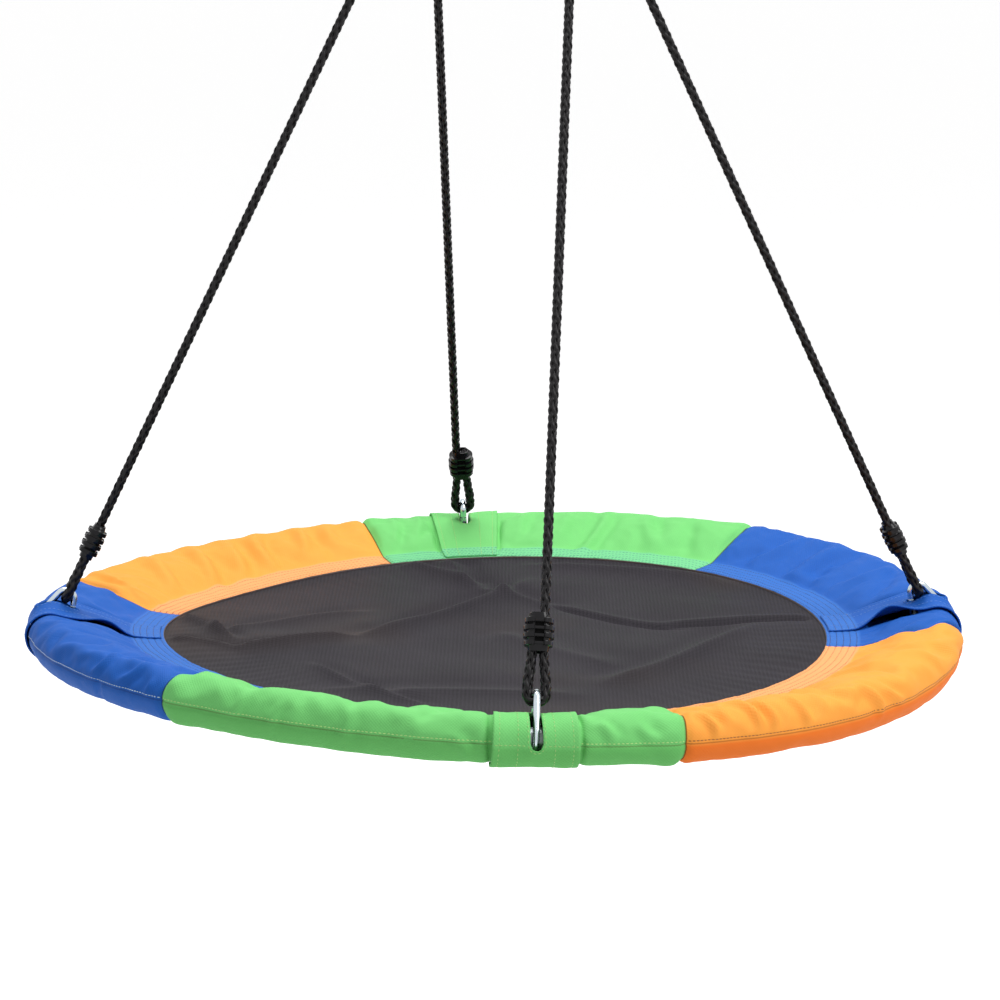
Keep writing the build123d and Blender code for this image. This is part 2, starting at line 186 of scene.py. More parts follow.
def rimPlace(angle, v, off):
    # angle in radians round the ring, v along the section, off outwards from the cover
    out, up, normalOut, normalUp = sectionAt(v)
    radius = out + normalOut * off
    x, y = radius * np.cos(angle), radius * np.sin(angle)
    return np.stack([x, y, rimHeight + up + normalUp * off + saddleAt(x, y)], -1)


def rimNormal(angle, v):
    normalOut, normalUp = sectionAt(v)[2:]
    return np.stack([normalOut * np.cos(angle), normalOut * np.sin(angle), normalUp], -1)


# The seams between panels don't run square across the rim
seamLean = {
    # for each, how many degrees it leans round the ring at the outer middle seam, over the top and at the mesh
    "turns": [(-0.7, -0.7, 0.0), (0.3, 1.2, 1.3), (7.2, 2.3, 1.6), (0.0, 0.0, -1.2),
              (-1.3, -1.3, -1.0), (-4.4, -4.2, -3.8)],
    "reach": 9.4,  # degrees each side of the seam, which ends short of the flaps
    "top": 0.037,
    "fadeOver": (0.0, 0.056),  # along the section, where the outer lean goes over into the next one
    "fadeUnder": (0.035, 0.1),
}


def leant(angle, v):
    turn = np.degrees(angle)
    shift = np.zeros_like(turn)
    outside = 1 - smoothStep(*seamLean["fadeOver"], v) - smoothStep(*seamLean["fadeUnder"], -v)
    for seam, (outer, top, inner) in zip(panelSeams, seamLean["turns"] + seamLean["turns"][:1]):
        near = np.clip(1 - np.abs(turn - seam) / seamLean["reach"], 0, 1)
        inside = np.interp(v, [0.0, seamLean["top"], bandStation], [inner, top, inner])
        shift += near * (inside + (outer - inside) * outside)
    return angle + np.radians(shift)


# Materials
def linearColour(hexColour):
    parts = [int(hexColour[k:k + 2], 16) / 255 for k in (1, 3, 5)]
    return [p / 12.92 if p <= 0.04045 else ((p + 0.055) / 1.055) ** 2.4 for p in parts] + [1.0]


def setInputs(tree, node, inputs):
    for socket, value in inputs.items():
        if isinstance(value, bpy.types.NodeSocket):
            tree.links.new(value, node.inputs[socket])
        else:
            node.inputs[socket].default_value = value


def addNode(tree, kind, settings=None, inputs=None, take=0):
    # gives back the output that take names, or all of them
    node = tree.nodes.new("ShaderNode" + kind)
    for name, value in (settings or {}).items():
        setattr(node, name, value)
    setInputs(tree, node, inputs or {})
    return node.outputs if take == "all" else node.outputs[take]


def newMaterial(name):
    material = bpy.data.materials.new(name)
    material.use_nodes = True
    return material, material.node_tree, material.node_tree.nodes["Principled BSDF"]


# Oxford cloth: 600-denier polyester, plain weave with a coated back, so matt with a soft sheen and
# a grain of crossing threads. Thread spacing is 0.7 mm, drawn at 1.6 mm so that it shows.
oxford = {
    # the colour for the cloth under the middle seam is painted light and shade for the rim's lower half
    "green": {"main": "#78D076", "deep": "#61B864", "paintedUnderShade": "#64B860", "band": "#78CCA2", "seam": "#5E6A34"},
    "orange": {"main": "#FFA948", "deep": "#F99130", "paintedUnderShade": "#EE6A18", "band": "#FAB084", "seam": "#8A3C14"},
    "blue": {"main": "#1C5CB6", "deep": "#194E9E", "paintedUnderShade": "#2763BC", "band": "#3F7ACB", "seam": "#14316E"},
    # the seam colours, this wide, paint the shade in the seams' grooves as a dark line
    "seamWidth": 0.9 * mm,
    "threadPitch": 1.6 * mm,
    "flapsFrom": 0.255,  # a flap's first coordinate is past this, and a panel's only in its middle 12 mm
}


def weaveHeight(tree, across, along, pitch):
    # over-and-under of a plain weave: the product of two sines, one for each set of threads
    waves = []
    for place in (across, along):
        turned = addNode(tree, "Math", {"operation": "MULTIPLY"}, {0: place, 1: pi / pitch})
        waves.append(addNode(tree, "Math", {"operation": "SINE"}, {0: turned}))
    crossed = addNode(tree, "Math", {"operation": "MULTIPLY"}, {0: waves[0], 1: waves[1]})
    return addNode(tree, "Math", {"operation": "MULTIPLY_ADD"}, {0: crossed, 1: 0.5, 2: 0.5})


def oxfordCloth(colourName):
    look = {part: linearColour(hexColour) for part, hexColour in oxford[colourName].items()}
    material, tree, shader = newMaterial(f"Oxford polyester {colourName}")
    flat = addNode(tree, "UVMap", {"uv_map": "flat"})
    across, along, _ = addNode(tree, "SeparateXYZ", inputs={0: flat}, take="all")
    weave = weaveHeight(tree, across, along, oxford["threadPitch"])
    place = addNode(tree, "TexCoord", take="Object")
    patches = addNode(tree, "TexNoise", inputs={
        "Vector": place, "Scale": 9.0, "Detail": 3.0, "Roughness": 0.55})
    slubs = addNode(tree, "TexNoise", {"noise_dimensions": "2D"}, {
        "Vector": flat, "Scale": 420.0, "Detail": 2.0})
    grain = addNode(tree, "Math", {"operation": "MULTIPLY_ADD"}, {0: patches, 1: 0.5, 2: -0.05})
    grain = addNode(tree, "Math", {"operation": "MULTIPLY_ADD"}, {0: weave, 1: -0.45, 2: grain})
    grain = addNode(tree, "Math", {"operation": "MULTIPLY_ADD", "use_clamp": True}, {
        0: slubs, 1: 0.3, 2: grain})
    colour = addNode(tree, "Mix", {"data_type": "RGBA"}, {0: grain, 6: look["main"], 7: look["deep"]}, 2)
    # the cloth below the middle seam, a second piece, is coloured a tone deeper (a tone lighter on the blue):
    # painted light and shade for the rim's lower half, which the lamps light differently
    paintedShadeBelow = addNode(tree, "MapRange", inputs={
        "Value": along, "From Min": -3 * mm, "From Max": 1 * mm, "To Min": 0.8, "To Max": 0.0})
    # the sewn band's rows of thread tint it, and each panel seam is painted as a dark line, the shade in its
    # groove
    fromMiddle = addNode(tree, "Math", {"operation": "ABSOLUTE"}, {0: along})
    onBand = addNode(tree, "MapRange", inputs={
        "Value": fromMiddle, "From Min": bandStation - 1 * mm, "From Max": bandStation + 1 * mm,
        "To Max": 0.55})
    seamGrooveShade = addNode(tree, "MapRange", {"interpolation_type": "SMOOTHSTEP"}, {
        "Value": across, "From Min": oxford["seamWidth"] * 0.6, "From Max": oxford["seamWidth"] * 1.6,
        "To Min": 0.75, "To Max": 0.0})
    # and so is the middle seam, painted with the shade of its groove, on the covers only
    onCover = addNode(tree, "Math", {"operation": "LESS_THAN"}, {0: across, 1: oxford["flapsFrom"]})
    middleSeamShade = addNode(tree, "MapRange", {"interpolation_type": "SMOOTHSTEP"}, {
        "Value": fromMiddle, "From Min": 0.2 * mm, "From Max": 1.1 * mm, "To Min": 0.5, "To Max": 0.0})
    middleSeamShade = addNode(tree, "Math", {"operation": "MULTIPLY"}, {0: middleSeamShade, 1: onCover})
    for share, part in ((paintedShadeBelow, "paintedUnderShade"), (onBand, "band"), (seamGrooveShade, "seam"), (middleSeamShade, "seam")):
        colour = addNode(tree, "Mix", {"data_type": "RGBA"}, {0: share, 6: colour, 7: look[part]}, 2)
    bump = addNode(tree, "Bump", inputs={"Height": weave, "Strength": 0.55, "Distance": 0.4 * mm})
    setInputs(tree, shader, {"Base Color": colour, "Normal": bump, "Roughness": 0.66, "Specular IOR Level": 0.2,
                             "Sheen Weight": 0.12, "Sheen Roughness": 0.4, "Sheen Tint": look["main"]})
    return material


# Sewing thread: bonded polyester, a soft gloss on fine twisted plies.
def sewingThread(name, hexColour):
    material, tree, shader = newMaterial(name)
    place = addNode(tree, "TexCoord", take="Object")
    plies = addNode(tree, "TexNoise", inputs={"Vector": place, "Scale": 900.0, "Detail": 1.0})
    base = linearColour(hexColour)
    worn = [c * 0.72 for c in base[:3]] + [1.0]
    colour = addNode(tree, "Mix", {"data_type": "RGBA"}, {0: plies, 6: base, 7: worn}, 2)
    setInputs(tree, shader, {"Base Color": colour, "Roughness": 0.45})
    return material


# Seat mesh: PVC-coated polyester yarn in a close weave, charcoal, with pits between its yarns.
# Yarn spacing is 1.1 mm, drawn at 2.6 mm so that it shows.
# Every few yarns a heavier one runs across the seat, and shows as a faint rib.
seatMeshLook = {"colour": "#2D2930", "deep": "#151317", "worn": "#352B27", "pitch": 2.6 * mm,
                "ribPitch": 4.2 * mm, "ribTurn": 40.0}


def coatedMesh():
    look = seatMeshLook
    material, tree, shader = newMaterial("PVC-coated polyester mesh")
    flat = addNode(tree, "UVMap", {"uv_map": "flat"})
    across, along, _ = addNode(tree, "SeparateXYZ", inputs={0: flat}, take="all")
    weave = weaveHeight(tree, across, along, look["pitch"])
    turned = addNode(tree, "Mapping", inputs={"Vector": flat, "Rotation": (0, 0, radians(-look["ribTurn"]))})
    ribs = addNode(tree, "SeparateXYZ", inputs={0: turned})
    ribs = addNode(tree, "Math", {"operation": "MULTIPLY"}, {0: ribs, 1: 2 * pi / look["ribPitch"]})
    ribs = addNode(tree, "Math", {"operation": "SINE"}, {0: ribs})
    place = addNode(tree, "TexCoord", take="Object")
    broad, patches, grain = [
        addNode(tree, "TexNoise", inputs={"Vector": place, "Scale": scale, "Detail": detail})
        for scale, detail in ((3.2, 2.0), (14.0, 4.0), (260.0, 1.0))]
    wornPart = addNode(tree, "MapRange", inputs={
        "Value": broad, "From Min": 0.5, "From Max": 0.68, "To Max": 0.5})
    tone = addNode(tree, "Math", {"operation": "MULTIPLY"}, {0: ribs, 1: grain})
    tone = addNode(tree, "Math", {"operation": "MULTIPLY_ADD"}, {0: tone, 1: 0.5, 2: 0.18})
    tone = addNode(tree, "Math", {"operation": "MULTIPLY_ADD", "use_clamp": True}, {
        0: patches, 1: 0.6, 2: tone})
    colour = addNode(tree, "Mix", {"data_type": "RGBA"}, {
        0: tone, 6: linearColour(look["colour"]), 7: linearColour(look["deep"])}, 2)
    colour = addNode(tree, "Mix", {"data_type": "RGBA"}, {
        0: wornPart, 6: colour, 7: linearColour(look["worn"])}, 2)
    bump = addNode(tree, "Bump", inputs={"Height": weave, "Strength": 0.6, "Distance": 0.5 * mm})
    setInputs(tree, shader, {"Base Color": colour, "Normal": bump, "Roughness": 0.6, "Specular IOR Level": 0.1})
    return material


# Rope: braided polypropylene, spun black, faintly glossy filaments along each strand.
ropeLook = {"colour": "#080708", "worn": "#1E1B1E", "filament": 0.35 * mm}


def braidedPolypropylene():
    material, tree, shader = newMaterial("Braided polypropylene black")
    strand = addNode(tree, "UVMap", {"uv_map": "flat"})
    stretched = addNode(tree, "Mapping", inputs={
        "Vector": strand, "Scale": (120.0, 1 / ropeLook["filament"], 1.0)})
    fibres = addNode(tree, "TexNoise", inputs={"Vector": stretched, "Scale": 1.0, "Detail": 2.0})
    colour = addNode(tree, "Mix", {"data_type": "RGBA"}, {
        0: fibres, 6: linearColour(ropeLook["colour"]), 7: linearColour(ropeLook["worn"])}, 2)
    bump = addNode(tree, "Bump", inputs={"Height": fibres, "Strength": 0.5, "Distance": 0.3 * mm})
    setInputs(tree, shader, {"Base Color": colour, "Normal": bump, "Roughness": 0.36,
                             "Specular IOR Level": 0.24})
    return material


# Clamp: injection-moulded ABS, black with a soft gloss and a trace of sink and handling marks.
# the window colour is painted shade for the inside of the clamps' windows
clampLook = {"colour": "#0F0E10", "worn": "#19181B", "window": "#020202"}


def mouldedBlackPlastic():
    material, tree, shader = newMaterial("Moulded ABS black")
    place = addNode(tree, "TexCoord", take="Object")
    marks = addNode(tree, "TexNoise", inputs={"Vector": place, "Scale": 260.0, "Detail": 3.0})
    rough = addNode(tree, "MapRange", inputs={"Value": marks, "To Min": 0.1, "To Max": 0.24})
    bump = addNode(tree, "Bump", inputs={"Height": marks, "Strength": 0.12, "Distance": 0.3 * mm})
    colour = addNode(tree, "Mix", {"data_type": "RGBA"}, {
        0: marks, 6: linearColour(clampLook["colour"]), 7: linearColour(clampLook["worn"])}, 2)
    # painted shade: the clamps' windows are coloured near black and made dull inside, for the shade deep in
    # them
    windowShade = addNode(tree, "Attribute", {"attribute_name": "windowShade"}, take="Fac")
    colour = addNode(tree, "Mix", {"data_type": "RGBA"}, {
        0: windowShade, 6: colour, 7: linearColour(clampLook["window"])}, 2)
    rough = addNode(tree, "Math", {"operation": "MAXIMUM"}, {0: rough, 1: windowShade})
    setInputs(tree, shader, {"Base Color": colour, "Roughness": rough, "Normal": bump,
                             "Specular IOR Level": 0.22})
    return material


# Bent steel: bright zinc plating with a faint blue passivation on the fittings, duller galvanising on the
# tubes, bare drawn wire in the springs; all with faint stains and a fine grain.
def platedSteel(name, hexColour, shadeHex, roughLow, roughHigh, grain):
    material, tree, shader = newMaterial(name)
    place = addNode(tree, "TexCoord", take="Object")
    stains = addNode(tree, "TexNoise", inputs={"Vector": place, "Scale": 70.0, "Detail": 4.0})
    fine = addNode(tree, "TexNoise", inputs={"Vector": place, "Scale": grain, "Detail": 2.0})
    colour = addNode(tree, "Mix", {"data_type": "RGBA"}, {
        0: stains, 6: linearColour(hexColour), 7: linearColour(shadeHex)}, 2)
    rough = addNode(tree, "MapRange", inputs={"Value": stains, "To Min": roughLow, "To Max": roughHigh})
    bump = addNode(tree, "Bump", inputs={"Height": fine, "Strength": 0.08, "Distance": 0.2 * mm})
    setInputs(tree, shader, {"Base Color": colour, "Roughness": rough, "Normal": bump, "Metallic": 1.0})
    return material


# Foam: closed-cell polyethylene, dark grey, matt, with a cut-cell grain about 1 mm wide. Its dark grey is also
# painted shade, so that the gaps where it shows read dark.
def closedCellFoam():
    material, tree, shader = newMaterial("Polyethylene foam charcoal with painted shade")
    place = addNode(tree, "TexCoord", take="Object")
    cells = addNode(tree, "TexVoronoi", inputs={"Vector": place, "Scale": 900.0}, take="Distance")
    colour = addNode(tree, "Mix", {"data_type": "RGBA"}, {
        0: cells, 6: linearColour("#2E2C2E"), 7: linearColour("#171618")}, 2)
    bump = addNode(tree, "Bump", inputs={"Height": cells, "Strength": 0.4, "Distance": 0.4 * mm})
    setInputs(tree, shader, {"Base Color": colour, "Normal": bump, "Roughness": 0.9})
    return material


clothMaterial = {colour: oxfordCloth(colour) for colour in ("green", "orange", "blue")}
threadColours = {
    "rim": {"green": ("lime", "#C2EE92"), "orange": ("brown", "#8A3A16"), "blue": ("pale blue", "#CFE6F2")},
    "band": {"green": ("teal", "#35987F"), "orange": ("rust", "#CC6A34"), "blue": ("royal", "#173F84")},
    "flap": {"green": ("leaf", "#A4DA80"), "blue": ("mid blue", "#5A8AD6")},
}
threads = {place: {cloth: sewingThread(f"Sewing thread {name}", hexColour)
                   for cloth, (name, hexColour) in colours.items()} for place, colours in threadColours.items()}
# the binding's dark colour also paints the shadow along the cover's hem
bindingThread = sewingThread("Binding tape brown-black with painted hem shadow", "#33201C")
meshMaterial = coatedMesh()
ropeMaterial = braidedPolypropylene()
clampMaterial = mouldedBlackPlastic()
zincMaterial = platedSteel("Zinc-plated steel", "#DDE6EA", "#B4C2CC", 0.16, 0.3, 1200.0)
tubeMaterial = platedSteel("Galvanised steel tube", "#B9BEC1", "#8E9498", 0.32, 0.5, 500.0)
springMaterial = platedSteel("Spring steel", "#A9A7A2", "#7D7B78", 0.25, 0.4, 1500.0)
foamMaterial = closedCellFoam()
print("materials made")


# Small tools for meshes
def selectOnly(piece=None):
    bpy.ops.object.select_all(action="DESELECT")
    if piece:
        piece.select_set(True)
        bpy.context.view_layer.objects.active = piece


def discard(piece):
    mesh = piece.data
    bpy.data.objects.remove(piece)
    bpy.data.meshes.remove(mesh)


def useMaterial(piece, material):
    piece.data.materials.clear()
    piece.data.materials.append(material)


def applyModifier(piece, kind, **settings):
    selectOnly(piece)
    modifier = piece.modifiers.new(kind.lower(), kind)
    for name, value in settings.items():
        setattr(modifier, name, value)
    bpy.ops.object.modifier_apply(modifier=modifier.name)


def smoothShade(piece):
    selectOnly(piece)
    bpy.ops.object.shade_smooth()


def finishPiece(piece, material, hidden=None):
    # every new piece swings with the seat
    useMaterial(piece, material)
    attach(piece, "swing")
    if hidden:
        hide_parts(hidden)


def startEdit(action="SELECT"):
    bpy.ops.object.mode_set(mode="EDIT")
    bpy.ops.mesh.select_all(action=action)


def extrudeBy(depth):
    bpy.ops.mesh.extrude_region_shrink_fatten(TRANSFORM_OT_shrink_fatten={"value": depth})


def closeEnds():
    bpy.ops.mesh.select_all(action="DESELECT")
    bpy.ops.mesh.select_mode(type="EDGE")
    bpy.ops.mesh.select_non_manifold()
    bpy.ops.mesh.edge_face_add()


def pointsOf(mesh):
    return np.array([vertex.co[:] for vertex in mesh.vertices])


def setOnRing(piece):
    # a flat ring bows as the rim does
    places = pointsOf(piece.data)
    places[:, 2] += rimHeight + saddleAt(places[:, 0], places[:, 1])
    piece.data.vertices.foreach_set("co", places.astype(np.float32).ravel())
    piece.data.update()
    smoothShade(piece)


def linkPiece(name, data):
    piece = bpy.data.objects.new(name, data)
    bpy.context.scene.collection.objects.link(piece)
    return piece


def meshPiece(name, points, faces, flat=None):
    # points and flat are arrays with one row for each vertex; faces index them
    used, faces = np.unique(np.asarray(faces), return_inverse=True)
    mesh = bpy.data.meshes.new(name)
    faces = faces.reshape(-1, 4)
    mesh.from_pydata(points[used].tolist(), [], faces.tolist())
    if flat is not None:
        layer = mesh.uv_layers.new(name="flat")
        layer.data.foreach_set("uv", flat[used][faces.ravel()].astype(np.float32).ravel())
    mesh.validate()
    return linkPiece(name, mesh)


def clothPiece(name, places, keep=None, flat=None):
    # places and flat are grids of points; keep says which squares of the grid are there
    index = np.arange(places[..., 0].size).reshape(places.shape[:2])
    quads = np.stack([index[:-1, :-1], index[1:, :-1], index[1:, 1:], index[:-1, 1:]], -1)
    quads = quads if keep is None else quads[keep]
    return meshPiece(name, places.reshape(-1, 3), quads, flat if flat is None else flat.reshape(-1, 2))


def middles(line):
    return (line[:-1] + line[1:]) / 2


def keptSquares(uLine, vLine, windows):
    # all squares but those in a window, which is (from u, to u, from v, to v)
    u, v = np.meshgrid(middles(uLine), middles(vLine), indexing="ij")
    keep = np.ones_like(u, bool)
    for fromU, toU, fromV, toV in windows:
        keep &= ~((u > fromU) & (u < toU) & (v > fromV) & (v < toV))
    return keep


def steps(places, spacing):
    # even steps of about that spacing between the named places, which all stay
    parts = [np.linspace(a, b, max(2, ceil((b - a) / spacing) + 1))[:-1] for a, b in zip(places, places[1:])]
    return np.concatenate(parts + [[places[-1]]])


def noiseField(u, v, size, seed):
    # size is that of a feature along u and along v
    values = [noise.noise((a, b, seed)) for a, b in zip((u / size[0]).ravel(), (v / size[1]).ravel())]
    return np.array(values).reshape(u.shape)


# Ropes
ropeShape = {
    "diameter": 10 * mm,
    "length": 2.1775,
    "spacing": 10.6 * mm,  # two strands side by side in a clamp
    "eyeWidth": 18.2 * mm,
    "turnHeight": 37.9 * mm,  # where the eye turns in the snap hook, above the tube's centre
    "eyeWidest": 19 * mm,  # above the turn
    "clampBottom": 86.9 * mm,
    "clampLength": 39 * mm,
    "insideClamp": 4 * mm,  # the strands part this far inside it
    "cutEnd": 1 * mm,  # below the clamp's top
    "hookSpacing": 138 * mm,
    "ringWire": 8 * mm,
    "ringInner": 40 * mm,
    "upperClampTop": 78 * mm,
    "upperTurn": 34.4 * mm,
    "upperEye": 20 * mm,
    "upperWidest": 8 * mm,  # below the ring's wire
    "spreadBelow": 8 * mm,
    "turnIn": 0.1 * mm,
    "straight": 60 * mm,  # how far from a bend a taut stretch begins
    "braidPitch": 64 * mm,
    "strandCentre": 3.3 * mm,
    "strandWeave": 0.8 * mm,
    "strandHalf": (2.2 * mm, 1.15 * mm),
    "strandOffset": 0.31,  # between the strands' patterns
    "strandAround": 6,
    "coreRadius": 2.5 * mm,
    "coreAround": 8,
    "eyeSwell": 0.14,  # the braid opens a little round the eyes
    "swellFrom": (0.085, 0.038),  # middle and reach of that, from a cut end
    "step": 2.1 * mm,
}
clampTop = ropeShape["clampBottom"] + ropeShape["clampLength"]
upperClampBottom = ropeShape["upperClampTop"] + ropeShape["clampLength"]
wireBelowHook = ropeShape["ringInner"] + ropeShape["ringWire"] / 2


def hangDown(side):
    middle = Vector((side * rimRadius * cos(radians(45)), 0, rimHeight))
    return (middle - Vector((side * ropeShape["hookSpacing"] / 2, 0, 0))).normalized()


def belowHook(side, distance, y=0.0):
    return Vector((side * ropeShape["hookSpacing"] / 2, y, 0)) + hangDown(side) * distance


def hangerFrame(angle):
    # along is the pull of the rope, across lies beside the tube
    turn = radians(angle)
    sideX, sideY = (1 if cos(turn) > 0 else -1), (1 if sin(turn) > 0 else -1)
    base = Vector((rimRadius * cos(turn), rimRadius * sin(turn), rimHeight))
    half = ropeShape["spacing"] / 2
    spread = belowHook(sideX, upperClampBottom + ropeShape["spreadBelow"], sideY * half)
    tangent = Vector((-sin(turn), cos(turn), 0))
    if tangent.dot(spread - base) < 0:
        tangent.negate()
    along = (spread - base).normalized()
    for _ in range(8):  # each of the two moves the other, less every time
        across = (tangent - along * tangent.dot(along)).normalized()
        along = (spread - base - across * half).normalized()
    across = (tangent - along * tangent.dot(along)).normalized()
    return {"base": base, "along": along, "across": across, "sideX": sideX, "sideY": sideY, "spread": spread}


hangers = [hangerFrame(angle) for angle in hangerAngles]


def ropeRoute(first, last):
    # from one cut end round its eye, up over the hanging ring and down to the other
    shape = ropeShape
    half, wide, turn = shape["spacing"] / 2, shape["eyeWidth"] / 2, shape["turnHeight"]
    low = shape["clampBottom"] - shape["insideClamp"]
    eye = [
        (-half, clampTop - shape["cutEnd"]), (-half, low), (-wide, turn + shape["eyeWidest"]),
        (-wide + shape["turnIn"], turn), (wide - shape["turnIn"], turn), (wide, turn + shape["eyeWidest"]),
        (half, low), (half, low + shape["straight"]),  # the taut stretch begins inside the clamp
    ]
    top = shape["upperEye"] / 2
    upper = [
        (half, upperClampBottom + shape["spreadBelow"]), (half, shape["upperClampTop"] - shape["insideClamp"]),
        (top, wireBelowHook + shape["upperWidest"]), (top - shape["turnIn"], shape["upperTurn"]),
    ]
    side = first["sideX"]
    points = [first["base"] + first["across"] * a + first["along"] * h for a, h in eye]
    points.append(first["spread"] - first["along"] * shape["straight"])
    points += [belowHook(side, h, -y) for y, h in upper]
    points += [belowHook(side, h, y) for y, h in reversed(upper)]
    points.append(last["spread"] - last["along"] * shape["straight"])
    points += [last["base"] + last["across"] * a + last["along"] * h for a, h in reversed(eye)]
    return points


def routeLine(name, points):
    curve = bpy.data.curves.new(name, "CURVE")
    curve.dimensions = "3D"
    curve.resolution_u = 24
    spline = curve.splines.new("NURBS")
    spline.points.add(len(points) - 1)
    for point, place in zip(spline.points, points):
        point.co = (*place, 1)
    spline.order_u = 3
    spline.use_endpoint_u = True
    route = linkPiece(name, curve)
    bpy.context.view_layer.update()
    line = bpy.data.meshes.new_from_object(route)
    places = pointsOf(line)
    bpy.data.objects.remove(route)
    bpy.data.meshes.remove(line)
    return places


def evenLine(places, spacing):
    lengths = lengthsAlong(places)
    stations = np.linspace(0, lengths[-1], round(lengths[-1] / spacing) + 1)
    return readAlong(places, lengths, stations), stations


def carriedFrames(line):
    # side vectors carried along the line without twist
    ways = np.gradient(line, axis=0)
    ways /= np.linalg.norm(ways, axis=1)[:, None]
    side = np.cross(ways[0], [0.3, 0.2, 1.0])
    side /= np.linalg.norm(side)
    sides = []
    for way in ways:
        side = side - way * side.dot(way)
        side /= np.linalg.norm(side)
        sides.append(side)
    sides = np.array(sides)
    return sides, np.cross(ways, sides)


def tubeFaces(rings, around, first):
    low = first + np.arange((rings - 1) * around).reshape(-1, around)
    ahead = np.roll(low, -1, 1)
    return np.stack([low, ahead, ahead + around, low + around], -1).reshape(-1, 4)


def braidedRope(name, node, points):
    shape = ropeShape
    line, stations = evenLine(routeLine(name + "_route", points), shape["step"])
    sides, ups = carriedFrames(line)
    count = len(line)
    fromEnd = np.minimum(stations, stations[-1] - stations)
    middle, reach = shape["swellFrom"]
    swell = 1 + shape["eyeSwell"] * np.exp(-((fromEnd - middle) / reach) ** 4)
    wide, thick = shape["strandHalf"]
    ring = np.arange(shape["strandAround"]) * 2 * pi / shape["strandAround"]
    around = (np.abs(ring - pi) * wide)[None, :]
    raised, aside = (thick * np.cos(ring))[None, :, None], (wide * np.sin(ring))[None, :, None]
    allPoints, allFlat, allFaces, first = [], [], [], 0
    for turnWay in (1, -1):
        for k in range(4):
            phase = turnWay * 2 * pi * stations / shape["braidPitch"] + k * pi / 2
            centre = (shape["strandCentre"] + turnWay * shape["strandWeave"] * np.cos(4 * phase)) * swell
            outward = np.cos(phase)[:, None] * sides + np.sin(phase)[:, None] * ups
            beside = -np.sin(phase)[:, None] * sides + np.cos(phase)[:, None] * ups
            places = line[:, None] + outward[:, None] * (centre[:, None, None] + raised)
            places = places + beside[:, None] * swell[:, None, None] * aside
            allPoints.append(places.reshape(-1, 3))
            flat = np.broadcast_arrays(stations[:, None] + k * shape["strandOffset"], around)
            allFlat.append(np.stack(flat, -1).reshape(-1, 2))
            allFaces.append(tubeFaces(count, len(ring), first))
            first += count * len(ring)
    ring = (np.arange(shape["coreAround"]) * 2 * pi / shape["coreAround"])[None, :, None]
    places = line[:, None] + shape["coreRadius"] * (np.cos(ring) * sides[:, None] + np.sin(ring) * ups[:, None])
    allPoints.append(places.reshape(-1, 3))
    allFlat.append(np.zeros((count * shape["coreAround"], 2)))
    allFaces.append(tubeFaces(count, shape["coreAround"], first))
    rope = meshPiece(name, np.concatenate(allPoints), np.concatenate(allFaces), np.concatenate(allFlat))
    selectOnly(rope)
    startEdit()
    closeEnds()
    bpy.ops.mesh.select_all(action="SELECT")
    bpy.ops.mesh.normals_make_consistent(inside=False)
    bpy.ops.object.mode_set(mode="OBJECT")
    smoothShade(rope)
    finishPiece(rope, ropeMaterial, node)


for side, node in ((-1, "rope_1"), (1, "rope_2")):
    first, last = sorted((h for h in hangers if h["sideX"] == side), key=lambda h: h["sideY"])
    braidedRope(f"braided_{node}", node, ropeRoute(first, last))
print("ropes braided")


# Cover panels
coverShape = {
    "spacing": 2.7 * mm,
    "windowHalf": 36 * mm,
    "windowNear": 39.5 * mm,  # cut back under the lifted edge of the side flaps
    "windowFrom": -62.0,
    "windowTo": 152.0,
    "windowLong": 114 * mm,
    "windowLowHalf": 24 * mm,  # narrower up to here, where the flap's edge lies on the cover
    "windowLowTo": 58 * mm,
    "tuckRows": (40.2, 41.2, 42.2, 43.2, 44.2, 45.2, 46.4),  # mm; closer where a flap's edge tucks the cover in
    "seamRow": 1.5 * mm,
    "seamDepth": 2.2 * mm,
    "seamWidth": 3.6 * mm,
    "seamClear": 7 * mm,  # the folds fade out over this much before a seam
    "flapClear": (40 * mm, 50 * mm),
    "midSeamDepth": 1.6 * mm,
    "midSeamWidth": 1.9 * mm,
    "puffHeight": {"green": 2.6 * mm, "orange": 1.4 * mm, "blue": 1.2 * mm},
    "puffWidth": 14 * mm,
    "puffFrom": 13 * mm,
    "puffRise": 6 * mm,
    "puffFade": (0.055, 0.005),  # short of the sewn band
    "wrinkleHeight": {"green": 1.7 * mm, "orange": 1.5 * mm, "blue": 1.4 * mm},
    "wrinkleRise": (0.004, 0.03),  # from the middle seam
    "wrinkleFade": (0.03, 0.004),  # short of the sewn band and onto it
    "creases": 0.7,  # share of their own height
    "underneath": 0.3,  # the wrinkles' share there
    "bucklesUnder": 0.35,  # and the settled cloth's
    "backOutside": 0.4,  # the back panels lie flatter round the outside
    "backFrom": (0.03, 0.065),
    "quilting": 0.35 * mm,
    "pucker": 0.45 * mm,
    "bandEdge": (2 * mm, 3 * mm),
    "lowest": (-3.2 * mm, -6 * mm),  # over the foam and past it
    "foamTo": 0.07,
}
windowFrom, windowTo = stationOfTurn(coverShape["windowFrom"]), stationOfTurn(coverShape["windowTo"])

